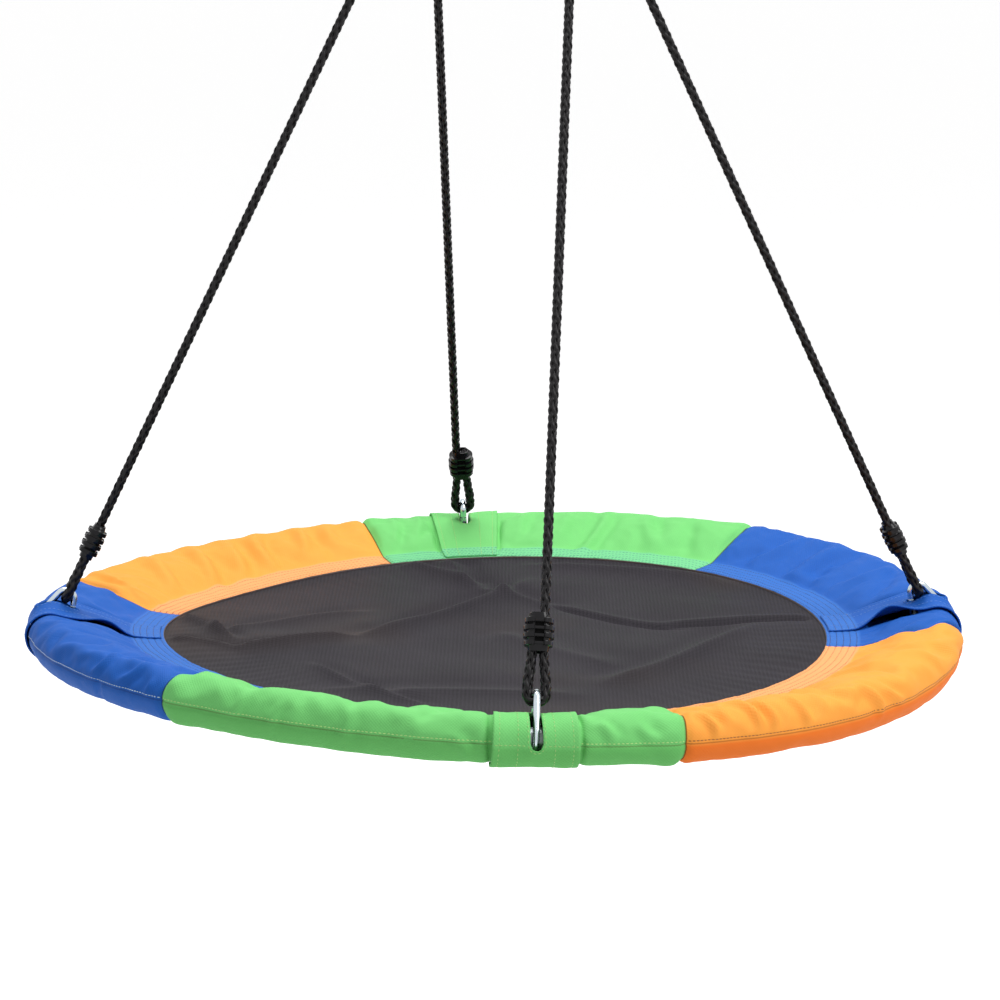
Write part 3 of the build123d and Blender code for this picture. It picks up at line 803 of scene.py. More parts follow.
# Creases pressed into a panel by the way it is sewn and packed. Each runs from one place to another, with
# (angle round the ring in degrees, mm along the section) for both, then bow, width and height in mm.
handCreases = {
    "orange_1": [
        (-20.4, 50, -18.4, 6, 7, 4.8, 5.9), (-17.6, 44, -16.4, 3, 6, 4.8, 5.5),
        (-12.9, 42, -11.6, 1, 5, 4.8, 5.0), (-26.3, 34, -24.2, 3, 4, 4.4, 5.0),
        (-5.4, 46, -0.6, 27, -6, 6.6, 4.7), (-1.6, 36, 1.4, -6, 6, 5.5, 5.0),
        (-22.6, 46, -22.0, 16, -4, 5, 2.6), (-9.0, 44, -8.6, 14, 4, 6, 2.6), (3.0, 24, 6.4, 2, -4, 5, 3.6),
        (11.0, 84, 17.0, 44, -6, 10, 4.4), (5.0, 76, 8.0, 34, 6, 8, 4.2), (20.5, 70, 24.0, 24, -6, 9, 4.2),
        (-8.0, 80, -5.0, 44, 5, 10, 3.4), (14.0, 60, 19.0, 14, 5, 7, 3.6),
    ],
    "blue_2": [
        (257.6, 44, 256.4, 5, 5, 5, 3.2), (264.6, 34, 261.2, 7, 5, 5, 2.8),
        (251.0, 20, 269.0, 27, 12, 7, 3.0), (267.8, 20, 267.0, 0, 2, 5, 2.2),
        (257.8, 2, 255.4, -30, 3, 4, -3.6), (246.0, 24, 253.0, 26, 3, 8, 1.6),
        (249.0, 66, 255.6, 38, 6, 7, 2.2), (260.6, 66, 258.2, 38, -5, 7, 2.4),
        (218.0, 30, 221.0, 110, 5, 12, 2.2),
    ],
    "green_1": [
        (-79.2, 26, -80.4, 0, 3, 5, 2.2), (-74.2, 22, -75.2, -8, -3, 5, 2.0),
        (-66.0, 24, -67.0, -14, 3, 6, 1.6), (-50.1, 66, -50.1, -44, 0, 2.8, -4.2),
        (-39.9, 66, -39.9, -44, 0, 2.4, -3.4), (-54.4, 8, -52.4, -24, 4, 6, 2.2),
        (-38.0, 24, -36.4, 2, 3, 5, 2.8), (-33.4, 24, -31.6, 5, -3, 5, 2.2),
        (-60.0, 70, -57.0, 30, 5, 10, 1.6),
    ],
    "orange_2": [
        (178.8, 26, 186.0, 134, 10, 12, 5.0), (166.0, 26, 170.4, 122, -10, 11, 4.6),
        (160.4, 26, 163.8, 112, 8, 9, 3.8), (155.6, 26, 157.2, 104, -6, 9, 3.6),
        (187.6, 22, 195.2, 120, 10, 12, 4.6), (172.6, 28, 178.2, 128, 10, 11, 4.4),
        (197.6, 20, 204.6, 100, -8, 11, 3.6),
    ],
    "blue_1": [
        (82.2, 36, 83.2, 112, 8, 11, 2.6), (73.2, 40, 72.6, 124, -8, 13, 3.2),
        (61.0, 36, 61.6, 100, 7, 11, 3.0), (65.4, 98, 77.4, 118, 5, 9, 2.2),
        (56.0, 54, 52.0, 112, 5, 10, -2.2), (50.1, 10, 50.1, 118, 0, 3, -3.0),
    ],
    "green_2": [
        (114.2, 28, 116.0, 146, 8, 8, 3.2), (142.0, 28, 143.6, 104, 5, 7, 2.4),
        (140.1, 58, 140.1, 140, 0, 3, -3.2), (129.9, 58, 129.9, 140, 0, 3, -3.2),
        (120.0, 38, 120.6, 118, 6, 8, 2.4), (108.4, 28, 102.6, 118, -6, 9, 2.6),
        (146.6, 36, 148.0, 110, 5, 7, 2.4), (125.4, 30, 126.4, 110, -4, 7, 1.8),
    ],
}


creaseShape = {
    "fadeIn": (-0.12, 0.25),  # shares of its length
    "fadeOut": (0.6, 1.08),
    "hollows": [(0.5, 1.7, 1.1), (0.3, -1.8, 1.3)],  # depth, place and width of those beside a fold
}


def creaseHeight(u, v, crease, seamAngle):
    fromTurn, fromV, toTurn, toV, bow, width, height = crease
    startU, endU = [radians(turn - seamAngle) * rimRadius / mm for turn in (fromTurn, toTurn)]
    wayU, wayV = endU - startU, toV - fromV
    long = hypot(wayU, wayV)
    t = ((u / mm - startU) * wayU + (v / mm - fromV) * wayV) / long ** 2
    off = ((v / mm - fromV) * wayU - (u / mm - startU) * wayV) / long
    p = (off - bow * 4 * t * (1 - t)) / width
    rise = bell(p, 0, 1)
    if height > 0:  # a fold; a tuck goes down and has no hollows beside it
        for depth, place, reach in creaseShape["hollows"]:
            rise = rise - depth * bell(p, place, reach)
    inside = smoothStep(*creaseShape["fadeIn"], t) * (1 - smoothStep(*creaseShape["fadeOut"], t))
    return inside * height * mm * rise


# The cover is cut a little longer than the rim it goes over, so it buckles between its seams. A coarse cloth
# held at the panel seams, the middle seam, the sewn band and the flaps is let go and keeps its buckles.
settleShape = {
    "spacing": 5.0 * mm,
    "frames": 16,
    "unevenness": 1.0 * mm,  # so that it has a way to buckle
    "unevenSize": (0.032, 0.06),
    "creases": 0.6,  # the share of each crease's height that it begins with
    "lowest": -2.4 * mm,
    "highest": 6.5 * mm,
    "cloth": {"quality": 5, "mass": 0.12, "tension_stiffness": 14.0, "compression_stiffness": 14.0,
              "shear_stiffness": 14.0 / 3, "bending_stiffness": 2.2, "air_damping": 3.0, "shrink_min": -0.030,
              "use_pressure": True, "uniform_pressure_force": 1.6, "vertex_group_mass": "held"},
}


def clearOfFlaps(seamAngle, u):
    # 0 under a flap, where the cover lies smooth, 1 away from it
    clear = np.ones_like(u)
    for angle in hangerAngles:
        clear *= smoothStep(*coverShape["flapClear"], np.abs(u - radians(angle - seamAngle) * rimRadius))
    return clear


def settledCover(panelName, seamAngle, length):
    shape = settleShape
    uLine = np.linspace(0, length, round(length / shape["spacing"]) + 1)
    vLine = np.linspace(-sectionLength, sectionLength, 2 * round(sectionLength / shape["spacing"]) + 1)
    u, v = np.meshgrid(uLine, vLine, indexing="ij")
    seed = 6.1 + panelNames.index(panelName)
    start = noiseField(u + 0.4 * v, v, shape["unevenSize"], seed) * shape["unevenness"]
    for crease in handCreases[panelName]:
        start += creaseHeight(u, v, crease, seamAngle) * shape["creases"]
    turns = radians(seamAngle) + u / rimRadius
    bare = rimPlace(turns, v, np.zeros_like(u))
    cloth = clothPiece("settling_cloth", rimPlace(turns, v, start))
    tiny = 0.001 * mm
    held = (u < tiny) | (u > length - tiny) | (np.abs(v) > bandStation - 2 * mm) | (np.abs(v) < tiny)
    held |= clearOfFlaps(seamAngle, u) < 0.3
    pins = cloth.vertex_groups.new(name="held")
    pins.add(np.flatnonzero(held.ravel()).tolist(), 1.0, "REPLACE")
    selectOnly(cloth)
    modifier = cloth.modifiers.new("settle", "CLOTH")
    for name, value in shape["cloth"].items():
        setattr(modifier.settings, name, value)
    modifier.settings.effector_weights.gravity = 0
    modifier.collision_settings.use_collision = False
    modifier.point_cache.frame_end = shape["frames"]
    for step in range(1, shape["frames"] + 1):
        bpy.context.scene.frame_set(step)
    bpy.ops.object.modifier_apply(modifier=modifier.name)
    bpy.context.scene.frame_set(1)
    settled = pointsOf(cloth.data).reshape(*u.shape, 3)
    discard(cloth)
    height = ((settled - bare) * rimNormal(turns, v)).sum(-1)
    return uLine, vLine, np.clip(height, shape["lowest"], shape["highest"])


def settledHeight(panelName, seamAngle, length, uLine, vLine):
    # the coarse cloth's buckles, read at the cover's own points
    uCoarse, vCoarse, settled = settledCover(panelName, seamAngle, length)
    rows = np.stack([np.interp(vLine, vCoarse, row) for row in settled])
    height = np.stack([np.interp(uLine, uCoarse, column) for column in rows.T], 1)
    for _ in range(2):  # rounds its facets
        height[1:-1] = (height[:-2] + 2 * height[1:-1] + height[2:]) / 4
        height[:, 1:-1] = (height[:, :-2] + 2 * height[:, 1:-1] + height[:, 2:]) / 4
    return height


# Slanting folds, long across the rim and short along it, with finer ones and flat facets between them
wrinkleShape = {
    "warp": 0.012,
    "warpSize": (0.09, 0.06),
    "foldSlant": 0.35,
    "foldSize": (0.021, 0.085),
    "fineSlant": -0.5,
    "fineSize": (0.0085, 0.035),
    "facetSlant": (0.8, -0.5),
    "facetSize": (0.022, 0.03),
    "shares": (0.3, 0.25, 0.2, 0.4),  # of the folds' ridges, the folds, the fine ones and the facets
}


def wrinkles(u, v, seed):
    shape = wrinkleShape
    warped = shape["warp"] * noiseField(u, v, shape["warpSize"], seed + 9)
    folds = noiseField(u + shape["foldSlant"] * v + warped, v, shape["foldSize"], seed)
    fine = noiseField(u + shape["fineSlant"] * v, v, shape["fineSize"], seed + 4)
    slantU, slantV = shape["facetSlant"]
    facets = noiseField(u + slantU * v, v + slantV * u, shape["facetSize"], seed + 2)
    parts = (1 - np.abs(folds) * 2.2, folds, fine, 0.7 - 2.4 * np.abs(facets))
    return sum(share * part for share, part in zip(shape["shares"], parts))


def coverHeight(panelName, span, u, v):
    shape = coverShape
    colour, seamAngle = panelName[:-2], span[0]
    length = radians(span[1] - span[0]) * rimRadius
    seed = 3.7 * panelNames.index(panelName) + 0.5
    size = np.abs(v)
    fromEnd = np.minimum(u, length - u)
    clear = smoothStep(0, shape["seamClear"], fromEnd)
    height = -shape["seamDepth"] * bell(fromEnd, 0, shape["seamWidth"])
    farFade, nearFade = shape["puffFade"]
    onRim = 1 - smoothStep(bandStation - farFade, bandStation - nearFade, size)
    puff = bell(fromEnd, shape["puffFrom"], shape["puffWidth"]) * smoothStep(0, shape["puffRise"], fromEnd)
    height += shape["puffHeight"][colour] * onRim * puff
    height -= shape["midSeamDepth"] * bell(v, 0, shape["midSeamWidth"])
    over = smoothStep(*shape["wrinkleRise"], v) + shape["underneath"] * smoothStep(*shape["wrinkleRise"], -v)
    farFade, nearFade = shape["wrinkleFade"]
    free = 1 - smoothStep(bandStation - farFade, bandStation + nearFade, size)
    creased = shape["wrinkleHeight"][colour] * over * free * wrinkles(u, v, seed)
    pressed, tucks = [sum(creaseHeight(u, v, crease, seamAngle) for crease in handCreases[panelName]
                          if (crease[-1] > 0) == raised) for raised in (True, False)]
    creased += shape["creases"] * pressed
    buckled = settledHeight(panelName, seamAngle, length, u[:, 0], v[0])
    creased += buckled * np.where(v < 0, shape["bucklesUnder"], 1.0)
    if panelName in ("green_2", "orange_2"):
        creased *= shape["backOutside"] + (1 - shape["backOutside"]) * smoothStep(*shape["backFrom"], v)
    height += creased * (clearOfFlaps(seamAngle, u) * clear)
    height += tucks * clear
    # quilting between the rows of stitches on the sewn band
    before, after = shape["bandEdge"]
    onBand = smoothStep(bandStation - before, bandStation + after, size)
    rowPitch = ringShape["sewnBand"] / ringShape["bandRows"]
    height += shape["quilting"] * np.cos((size - bandStation) / rowPitch * 2 * pi) * onBand
    height += noiseField(u, v, (0.006, 0.012), seed + 7) * shape["pucker"] * onBand
    return np.maximum(height, np.where(size < shape["foamTo"], *shape["lowest"]))


def hangersOn(span):
    return [angle for angle in hangerAngles if span[0] < angle < span[1]]


def coverPanel(panelName, span):
    shape = coverShape
    colour, seamAngle = panelName[:-2], span[0]
    length = radians(span[1] - span[0]) * rimRadius
    marks = [0.0, shape["seamRow"], length - shape["seamRow"], length]
    windows = []
    for angle in hangersOn(span):
        middle = radians(angle - seamAngle) * rimRadius
        low = shape["windowNear"] if angle == 45 else shape["windowHalf"]
        high = shape["windowNear"] if angle == 225 else shape["windowHalf"]
        marks += [middle + side * reach * mm for side in (-1, 1) for reach in shape["tuckRows"]]
        if colour == "blue":
            half = shape["windowLowHalf"]
            windows.append((middle - half, middle + half, windowFrom, shape["windowLowTo"]))
            windows.append((middle - low, middle + high, shape["windowLowTo"], shape["windowLong"]))
        else:
            windows.append((middle - low, middle + high, windowFrom, windowTo))
        marks += [edge for window in windows for edge in window[:2]]
    uLine = steps(sorted(marks), shape["spacing"])
    vLine = steps([-sectionLength, windowFrom, 0.0, shape["windowLowTo"], windowTo, shape["windowLong"],
                   sectionLength], shape["spacing"])
    u, v = np.meshgrid(uLine, vLine, indexing="ij")
    places = rimPlace(leant(radians(seamAngle) + u / rimRadius, v), v, coverHeight(panelName, span, u, v))
    flat = np.stack([np.minimum(u, length - u), v], -1)  # measured from the nearer seam
    panel = clothPiece(f"cover_{panelName}", places, keptSquares(uLine, vLine, windows), flat)
    applyModifier(panel, "SOLIDIFY", thickness=ringShape["wall"], offset=-1)
    smoothShade(panel)
    finishPiece(panel, clothMaterial[colour], f"cover_panel_{panelName}")
    return panel


covers = {panelName: coverPanel(panelName, span) for panelName, span in panelSpans.items()}
print("cover panels sewn")


# Foam under the cover
foamShape = {"radius": 18.9 * mm, "bore": 12.8 * mm, "endGap": 30 * mm, "boreDepth": 14 * mm, "segments": 240,
             "around": 32}


def foamSleeve(number, angle):
    # one quarter of a torus, hollowed at its ends
    gap = foamShape["endGap"] / rimRadius
    selectOnly()
    bpy.ops.mesh.primitive_torus_add(major_radius=rimRadius, minor_radius=foamShape["radius"],
                                     major_segments=foamShape["segments"], minor_segments=foamShape["around"])
    foam = named(f"foam_pad_{number}")
    bpy.ops.object.mode_set(mode="EDIT")
    for turn, way in ((radians(angle) + gap, 1), (radians(angle + 90) - gap, -1)):
        bpy.ops.mesh.select_all(action="SELECT")
        bpy.ops.mesh.bisect(plane_co=(0, 0, 0), plane_no=(-sin(turn) * way, cos(turn) * way, 0),
                            use_fill=False, clear_inner=True)
    closeEnds()
    bpy.ops.mesh.select_mode(type="FACE")
    bpy.ops.mesh.inset(thickness=foamShape["radius"] - foamShape["bore"])
    extrudeBy(-foamShape["boreDepth"])
    bpy.ops.object.mode_set(mode="OBJECT")
    setOnRing(foam)
    finishPiece(foam, foamMaterial, f"foam_sleeve_{number}")


for number, angle in enumerate(hangerAngles, 1):
    foamSleeve(number, angle)
print("foam sleeves cut")


# Mesh seat
seatShape = {
    "hem": 20 * mm,
    "hemEdge": 1 * mm,
    "spacing": 3.8 * mm,
    "sag": 14 * mm,
    "thickness": 1.0 * mm,
    "wave": 3.5 * mm,
    "waveSize": (0.16, 0.09),
    "waveTaut": 0.18,  # the wave and the creases fade out towards the taut edge, over this share of the sag
    "creaseTaut": 0.1,
    "puckers": 96,
    "puckerHeight": 0.25 * mm,
    "puckerRise": (0.24, 0.34),
    "puckerFade": (0.352, 0.36),
}
# Creases in the slack mesh: (x, y) of both ends in metres, bow in mm, width mm, height mm
seatFolds = [
    ((-0.150, -0.262), (-0.100, -0.100), 8, 10, 4.5), ((-0.104, -0.125), (-0.142, 0.245), -14, 14, 5.0),
    ((-0.345, -0.166), (-0.178, -0.224), 6, 8, 5.0), ((-0.356, 0.200), (-0.147, 0.161), 5, 11, 3.6),
    ((-0.175, 0.166), (-0.020, 0.140), 0, 12, 3.2), ((-0.320, 0.256), (-0.170, 0.156), 4, 12, 3.2),
    ((-0.080, 0.160), (0.145, 0.172), -22, 5.2, -2.3), ((0.090, 0.142), (0.258, 0.296), 8, 6, -2.4),
    ((0.220, -0.100), (0.186, 0.240), -10, 18, 4.2), ((-0.070, -0.230), (0.165, -0.284), -12, 9, 2.6),
    ((-0.250, -0.270), (-0.140, -0.245), 3, 7, 2.8), ((-0.200, 0.260), (0.140, 0.380), 14, 14, 2.8),
    ((-0.230, -0.230), (-0.180, 0.020), 6, 14, 3.0), ((0.020, -0.330), (0.250, -0.120), 10, 20, 2.4),
    ((-0.020, 0.020), (0.190, -0.010), -12, 22, 2.4),
]


def foldHeight(x, y, fold):
    (x0, y0), (x1, y1), bow, width, height = fold
    wayX, wayY = x1 - x0, y1 - y0
    long = hypot(wayX, wayY)
    t = ((x - x0) * wayX + (y - y0) * wayY) / long ** 2
    off = ((x - x0) * -wayY + (y - y0) * wayX) / long
    p = (off - bow * mm * 4 * t * (1 - t)) / (0.8 * width * mm)
    inside = smoothStep(0, 0.2, t) * (1 - smoothStep(0.75, 1, t))
    crest = np.exp(0.35 - np.sqrt(p * p + 0.12))  # sharper than a swell, as a fold line is
    return 2.0 * inside * height * mm * (crest - 0.5 * bell(p, 2.0, 1.6))


def seatHeight(x, y):
    shape = seatShape
    radius = np.hypot(x, y)
    share = np.clip(1 - (radius / meshOpening) ** 2, 0, 1)
    height = rimHeight + saddleAt(x, y) - shape["sag"] * share
    wave = noiseField(x + 0.3 * y, y - 0.3 * x, shape["waveSize"], 2.5)
    height = height + smoothStep(0, shape["waveTaut"], share) * shape["wave"] * wave
    for fold in seatFolds:
        height = height + smoothStep(0, shape["creaseTaut"], share) * foldHeight(x, y, fold)
    # short gathers run in from the sewn edge
    turn = np.arctan2(y, x)
    gathers = np.sin(shape["puckers"] * turn + 2.2 * np.sin(7 * turn)) * shape["puckerHeight"]
    near = smoothStep(*shape["puckerRise"], radius) * (1 - smoothStep(*shape["puckerFade"], radius))
    return height + gathers * near * (0.6 + 0.5 * np.sin(3 * turn + 1))


def meshSeat():
    outer = meshOpening + seatShape["hem"]
    edge = outer - seatShape["hemEdge"]
    line = np.linspace(-outer, outer, ceil(2 * outer / seatShape["spacing"]) + 1)
    x, y = np.meshgrid(line, line, indexing="ij")
    radius = np.hypot(x, y)
    pull = np.where(radius > edge, edge / np.maximum(radius, 1e-9), 1)
    keep = np.hypot(*np.meshgrid(middles(line), middles(line), indexing="ij")) < edge
    places = np.stack([x * pull, y * pull, seatHeight(x * pull, y * pull)], -1)
    seat = clothPiece("seat_mesh", places, keep, np.stack([x, y], -1))
    applyModifier(seat, "SOLIDIFY", thickness=seatShape["thickness"], offset=0)
    smoothShade(seat)
    finishPiece(seat, meshMaterial, "mesh_seat")


meshSeat()
print("mesh seat laid in")


# Flaps over the windows
flapShape = {
    "width": 80 * mm,
    "thickness": 1.6 * mm,
    "gap": 0.5 * mm,
    "tipFrom": 3 * mm,  # stops this far short of the mesh
    "endTurn": 100.0,  # degrees round under the rim
    "slotWidth": 12 * mm,
    "slotFrom": {1: 6.0, 2: 76.0, 3: -5.0, 4: 76.0},  # at the sides the pull of the rope closes its lower end
    "slotTo": 140.0,
    "slotRound": 7 * mm,  # how much of its length the rows bend over
    "spacing": 2.0 * mm,
    "liftFrom": 8 * mm,
    "ripple": 1.2 * mm,
    "rippleSize": (0.018, 0.03),
    "hemLine": 6 * mm,
    "hemWidth": 1.3 * mm,
    "hemDepth": 0.45 * mm,
}
flapEnd = -coverRadius * radians(flapShape["endTurn"])
flapTip = sectionLength - flapShape["tipFrom"]
# How far each side edge stands off the cover: (height mm, place along the section mm, reach mm)
flapLift = {
    1: {-1: [(4.6, -2, 30)], 1: [(2.2, 20, 40)]},
    2: {-1: [(15.0, 88, 24), (1.5, 22, 26)], 1: [(1.6, 40, 40)]},
    3: {-1: [(1.0, 60, 40)], 1: [(1.0, 60, 40)]},
    4: {-1: [(1.6, 40, 40)], 1: [(1.8, 4, 30), (7.0, 96, 20)]},
}
# Where the hook pushes the flap out, or at the back presses it in: height, place, width and length in mm
flapDip = {1: (3.0, 4, 16, 20), 2: (8.5, 43, 12, 20), 3: (-1.5, 40, 15, 22), 4: (8.5, 43, 12, 20)}
flapSlant = {1: 5 * mm, 2: 0.0, 3: 0.0, 4: 0.0}  # how far the lower corner of the first side edge spreads


def flapSpread(number, a, v):
    return a - flapSlant[number] * smoothStep(0, 0.04, -a) * smoothStep(-0.02, 0.06, -v)


def slotEnds(number):
    return stationOfTurn(flapShape["slotFrom"][number]), stationOfTurn(flapShape["slotTo"])


def hangerFlap(number, angle, colour):
    shape = flapShape
    half, slotHalf = shape["width"] / 2, shape["slotWidth"] / 2
    slotLow, slotHigh = slotEnds(number)
    aLine = steps([-half, -slotHalf, slotHalf, half], shape["spacing"])
    vLine = steps([flapEnd, slotLow, slotHigh, flapTip], shape["spacing"])
    a, v = np.meshgrid(aLine, vLine, indexing="ij")
    # the slot's ends are round: rows near an end bend out between its two long edges
    roundEnd = np.sqrt(np.maximum(slotHalf ** 2 - a ** 2, 0))
    vRound = v
    for middle, way in ((slotLow, -1), (slotHigh, 1)):
        vRound = vRound + way * roundEnd * bell(v, middle, shape["slotRound"])
    lift = np.zeros_like(v)
    for side, lifts in flapLift[number].items():
        edge = smoothStep(shape["liftFrom"], half, a * side) ** 1.4
        for height, place, reach in lifts:
            lift += height * mm * edge * bell(v, place * mm, reach * mm)
    dip, dipPlace, dipAcross, dipAlong = [value * mm for value in flapDip[number]]
    lift += dip * bell(a, 0, dipAcross) * bell(v, dipPlace, dipAlong)
    ripple = noiseField(a, v, shape["rippleSize"], 20.3 + number)
    free = 1 - smoothStep(bandStation - 0.02, bandStation + 0.004, v)
    off = shape["gap"] + shape["thickness"] + lift + free * shape["ripple"] * (ripple + 0.35)
    off -= bell(np.abs(a), half - shape["hemLine"], shape["hemWidth"]) * shape["hemDepth"]
    places = rimPlace(radians(angle) + flapSpread(number, a, v) / rimRadius, vRound, off)
    keep = keptSquares(aLine, vLine, [(-slotHalf, slotHalf, slotLow, slotHigh)])
    flap = clothPiece(f"flap_{number}", places, keep, np.stack([a + 0.3, vRound], -1))
    applyModifier(flap, "SOLIDIFY", thickness=shape["thickness"], offset=-1)
    smoothShade(flap)
    finishPiece(flap, clothMaterial[colour], f"hanger_flap_{number}")
    return flap


flaps = {number: hangerFlap(number, angle, colour)
         for number, (angle, colour) in enumerate(zip(hangerAngles, hangerColours), 1)}
print("flaps sewn on")


# Stitches
stitchShape = {
    "length": 3.2 * mm,
    "gap": 1.1 * mm,
    "width": 0.95 * mm,
    "height": 0.6 * mm,
    "raised": 0.12,  # the share of its height that a stitch's middle lies above the cloth
    "fromSeam": 0.15,  # degrees
    "fromMiddle": 3 * mm,  # the row along the rim, above the middle seam
    "fromFlap": 1 * mm,
    "besideSlot": 2 * mm,
    "flapRows": 17 * mm,  # each side of the flap's middle
    "flapEnds": 2 * mm,
    "flapMiddle": 1 * mm,
}
stitchPitch = stitchShape["length"] + stitchShape["gap"]


def stitchModel():
    # one stitch, a low bead lying along X
    selectOnly()
    bpy.ops.mesh.primitive_uv_sphere_add(segments=6, ring_count=4, radius=0.5)
    bead = bpy.context.active_object
    startEdit()
    bpy.ops.transform.rotate(value=pi / 2, orient_axis="Y", center_override=(0, 0, 0))
    bpy.ops.transform.resize(value=(stitchShape["length"], stitchShape["width"], stitchShape["height"]),
                             center_override=(0, 0, 0))
    bpy.ops.object.mode_set(mode="OBJECT")
    points = pointsOf(bead.data)
    faces = [list(p.vertices) for p in bead.data.polygons]
    discard(bead)
    return points, faces


stitchPoints, stitchFaces = stitchModel()


def surfaceTree(piece):
    return BVHTree.FromPolygons(pointsOf(piece.data).tolist(), [p.vertices[:] for p in piece.data.polygons])


def stitchRows(name, rows, trees, material):
    # rows are lists of (place, outward normal) a stitch apart; each stitch is laid onto the cloth below it
    allPoints, allFaces, first = [], [], 0
    for row in rows:
        for (here, normal), (ahead, _) in zip(row, row[1:]):
            middle, way = (here + ahead) / 2, ahead - here
            hits = [tree.ray_cast(Vector(middle + normal * 0.02), Vector(-normal), 0.04) for tree in trees]
            hits = [h for h in hits if h[0] is not None]
            if not hits:
                continue
            place, face = [np.array(v) for v in min(hits, key=lambda h: h[3])[:2]]
            way = way - face * way.dot(face)
            way /= np.linalg.norm(way)
            turned = stitchPoints @ np.stack([way, np.cross(face, way), face])
            allPoints.append(turned + place + face * stitchShape["height"] * stitchShape["raised"])
            allFaces += [[first + i for i in f] for f in stitchFaces]
            first += len(stitchPoints)
    mesh = bpy.data.meshes.new(name)
    mesh.from_pydata(np.concatenate(allPoints).tolist(), [], allFaces)
    piece = linkPiece(name, mesh)
    smoothShade(piece)
    finishPiece(piece, material)


def rowOver(angles, vs):
    return list(zip(rimPlace(angles, vs, 0.0), rimNormal(angles, vs)))


def rowRound(fromAngle, toAngle, v):
    radius = float(sectionAt(np.array(v))[0])
    count = max(2, round(radians(toAngle - fromAngle) * radius / stitchPitch))
    angles = np.radians(np.linspace(fromAngle, toAngle, count + 1))
    vs = np.full_like(angles, v)
    return rowOver(leant(angles, vs), vs)


def rowAlong(number, angle, across, vFrom, vTo):
    vs = np.linspace(vFrom, vTo, max(2, round(abs(vTo - vFrom) / stitchPitch)) + 1)
    return rowOver(radians(angle) + flapSpread(number, np.full_like(vs, across), vs) / rimRadius, vs)


def coverStitching(panelName, span):
    colour = panelName[:-2]
    pieces = [covers[panelName]] + [flaps[hangerAngles.index(angle) + 1] for angle in hangersOn(span)]
    trees = [surfaceTree(piece) for piece in pieces]
    low, high = span[0] + stitchShape["fromSeam"], span[1] - stitchShape["fromSeam"]
    insets = [(k + 0.5) * ringShape["sewnBand"] / ringShape["bandRows"] for k in range(ringShape["bandRows"])]
    rows = [rowRound(low, high, side * (sectionLength - inset)) for inset in insets for side in (1, -1)]
    stitchRows(f"band_stitches_{panelName}", rows, trees, threads["band"][colour])
    clear = degrees((flapShape["width"] / 2 + stitchShape["fromFlap"]) / rimRadius)
    ends = [low] + [angle + side * clear for angle in hangersOn(span) for side in (-1, 1)] + [high]
    rows = [rowRound(a, b, stitchShape["fromMiddle"]) for a, b in zip(ends[::2], ends[1::2])]
    stitchRows(f"rim_stitches_{panelName}", rows, trees[:1], threads["rim"][colour])


def flapStitching(number, angle, colour):
    shape = stitchShape
    slotLow, slotHigh = slotEnds(number)
    half, beside = flapShape["width"] / 2, flapShape["slotWidth"] / 2 + shape["besideSlot"]
    hem = half - flapShape["hemLine"]
    rows = [rowAlong(number, angle, across, flapEnd + shape["flapEnds"], flapTip - shape["flapEnds"])
            for across in (-hem, -shape["flapRows"], shape["flapRows"], hem)]
    rows += [rowAlong(number, angle, side * beside, slotLow, slotHigh) for side in (1, -1)]
    turns = np.linspace(0, pi, 7)
    for middle, way in ((slotLow, -1), (slotHigh, 1)):
        angles = radians(angle) + beside * np.cos(turns) / rimRadius
        rows.append(rowOver(angles, middle + way * beside * np.sin(turns)))
    inner, reach = degrees((beside + shape["besideSlot"]) / rimRadius), degrees(half / rimRadius) * 0.98
    rows += [rowRound(a, b, shape["flapMiddle"])
             for a, b in ((angle - reach, angle - inner), (angle + inner, angle + reach))]
    trees = [surfaceTree(flaps[number])]
    stitchRows(f"flap_stitches_{number}", rows, trees, threads["flap"][colour])


for panelName, span in panelSpans.items():
    coverStitching(panelName, span)
for number, (angle, colour) in enumerate(zip(hangerAngles, hangerColours), 1):
    flapStitching(number, angle, colour)
print("stitches laid")


# Edge binding round the mesh: a thin dark cord, its dark also painting the shadow along the cover's hem
bindingShape = {"radius": 0.9 * mm, "inside": 0.2 * mm, "height": 2.6, "segments": 360, "around": 8}


def edgeBinding():
    selectOnly()
    bpy.ops.mesh.primitive_torus_add(
        major_radius=meshOpening - bindingShape["inside"], minor_radius=bindingShape["radius"],
        major_segments=bindingShape["segments"], minor_segments=bindingShape["around"])
    binding = named("edge_binding")
    startEdit()
    bpy.ops.transform.resize(value=(1, 1, bindingShape["height"]), center_override=(0, 0, 0))
    bpy.ops.object.mode_set(mode="OBJECT")
    setOnRing(binding)
    finishPiece(binding, bindingThread)


edgeBinding()
print("binding sewn")


# Rope clamps: a moulded barrel with four ribs, narrowed ends and three windows down its front and back
clampShape = {
    "width": 30 * mm,
    "depth": 22 * mm,
    "length": ropeShape["clampLength"],
    "ribs": 4,
    "ribPitch": 7.6 * mm,
    "ribWidth": 4.4 * mm,
    "ribHeight": 3.2 * mm,
    "ledgeWidth": 2.6 * mm,
    "ledgeHeight": 1.0 * mm,
    "windowHalf": 4.9 * mm,
    "windowInset": 0.2 * mm,
    "windowDepth": 1.4 * mm,
    "shadeFrom": 0.5 * mm,  # below the face, the window is painted dark as its shade
    "flat": 0.6 * mm,  # half of what its rounded sides leave flat
    "endBand": 1.2 * mm,
    "lowTaper": (0.84, 0.90),
    "topTaper": (0.74, 0.80),
    "endRibTaper": (0.93, 0.94),
    "endWall": 1.5 * mm,
    "endDepth": 3.0 * mm,
    "round": 0.5 * mm,
    "near": 0.1 * mm,
}


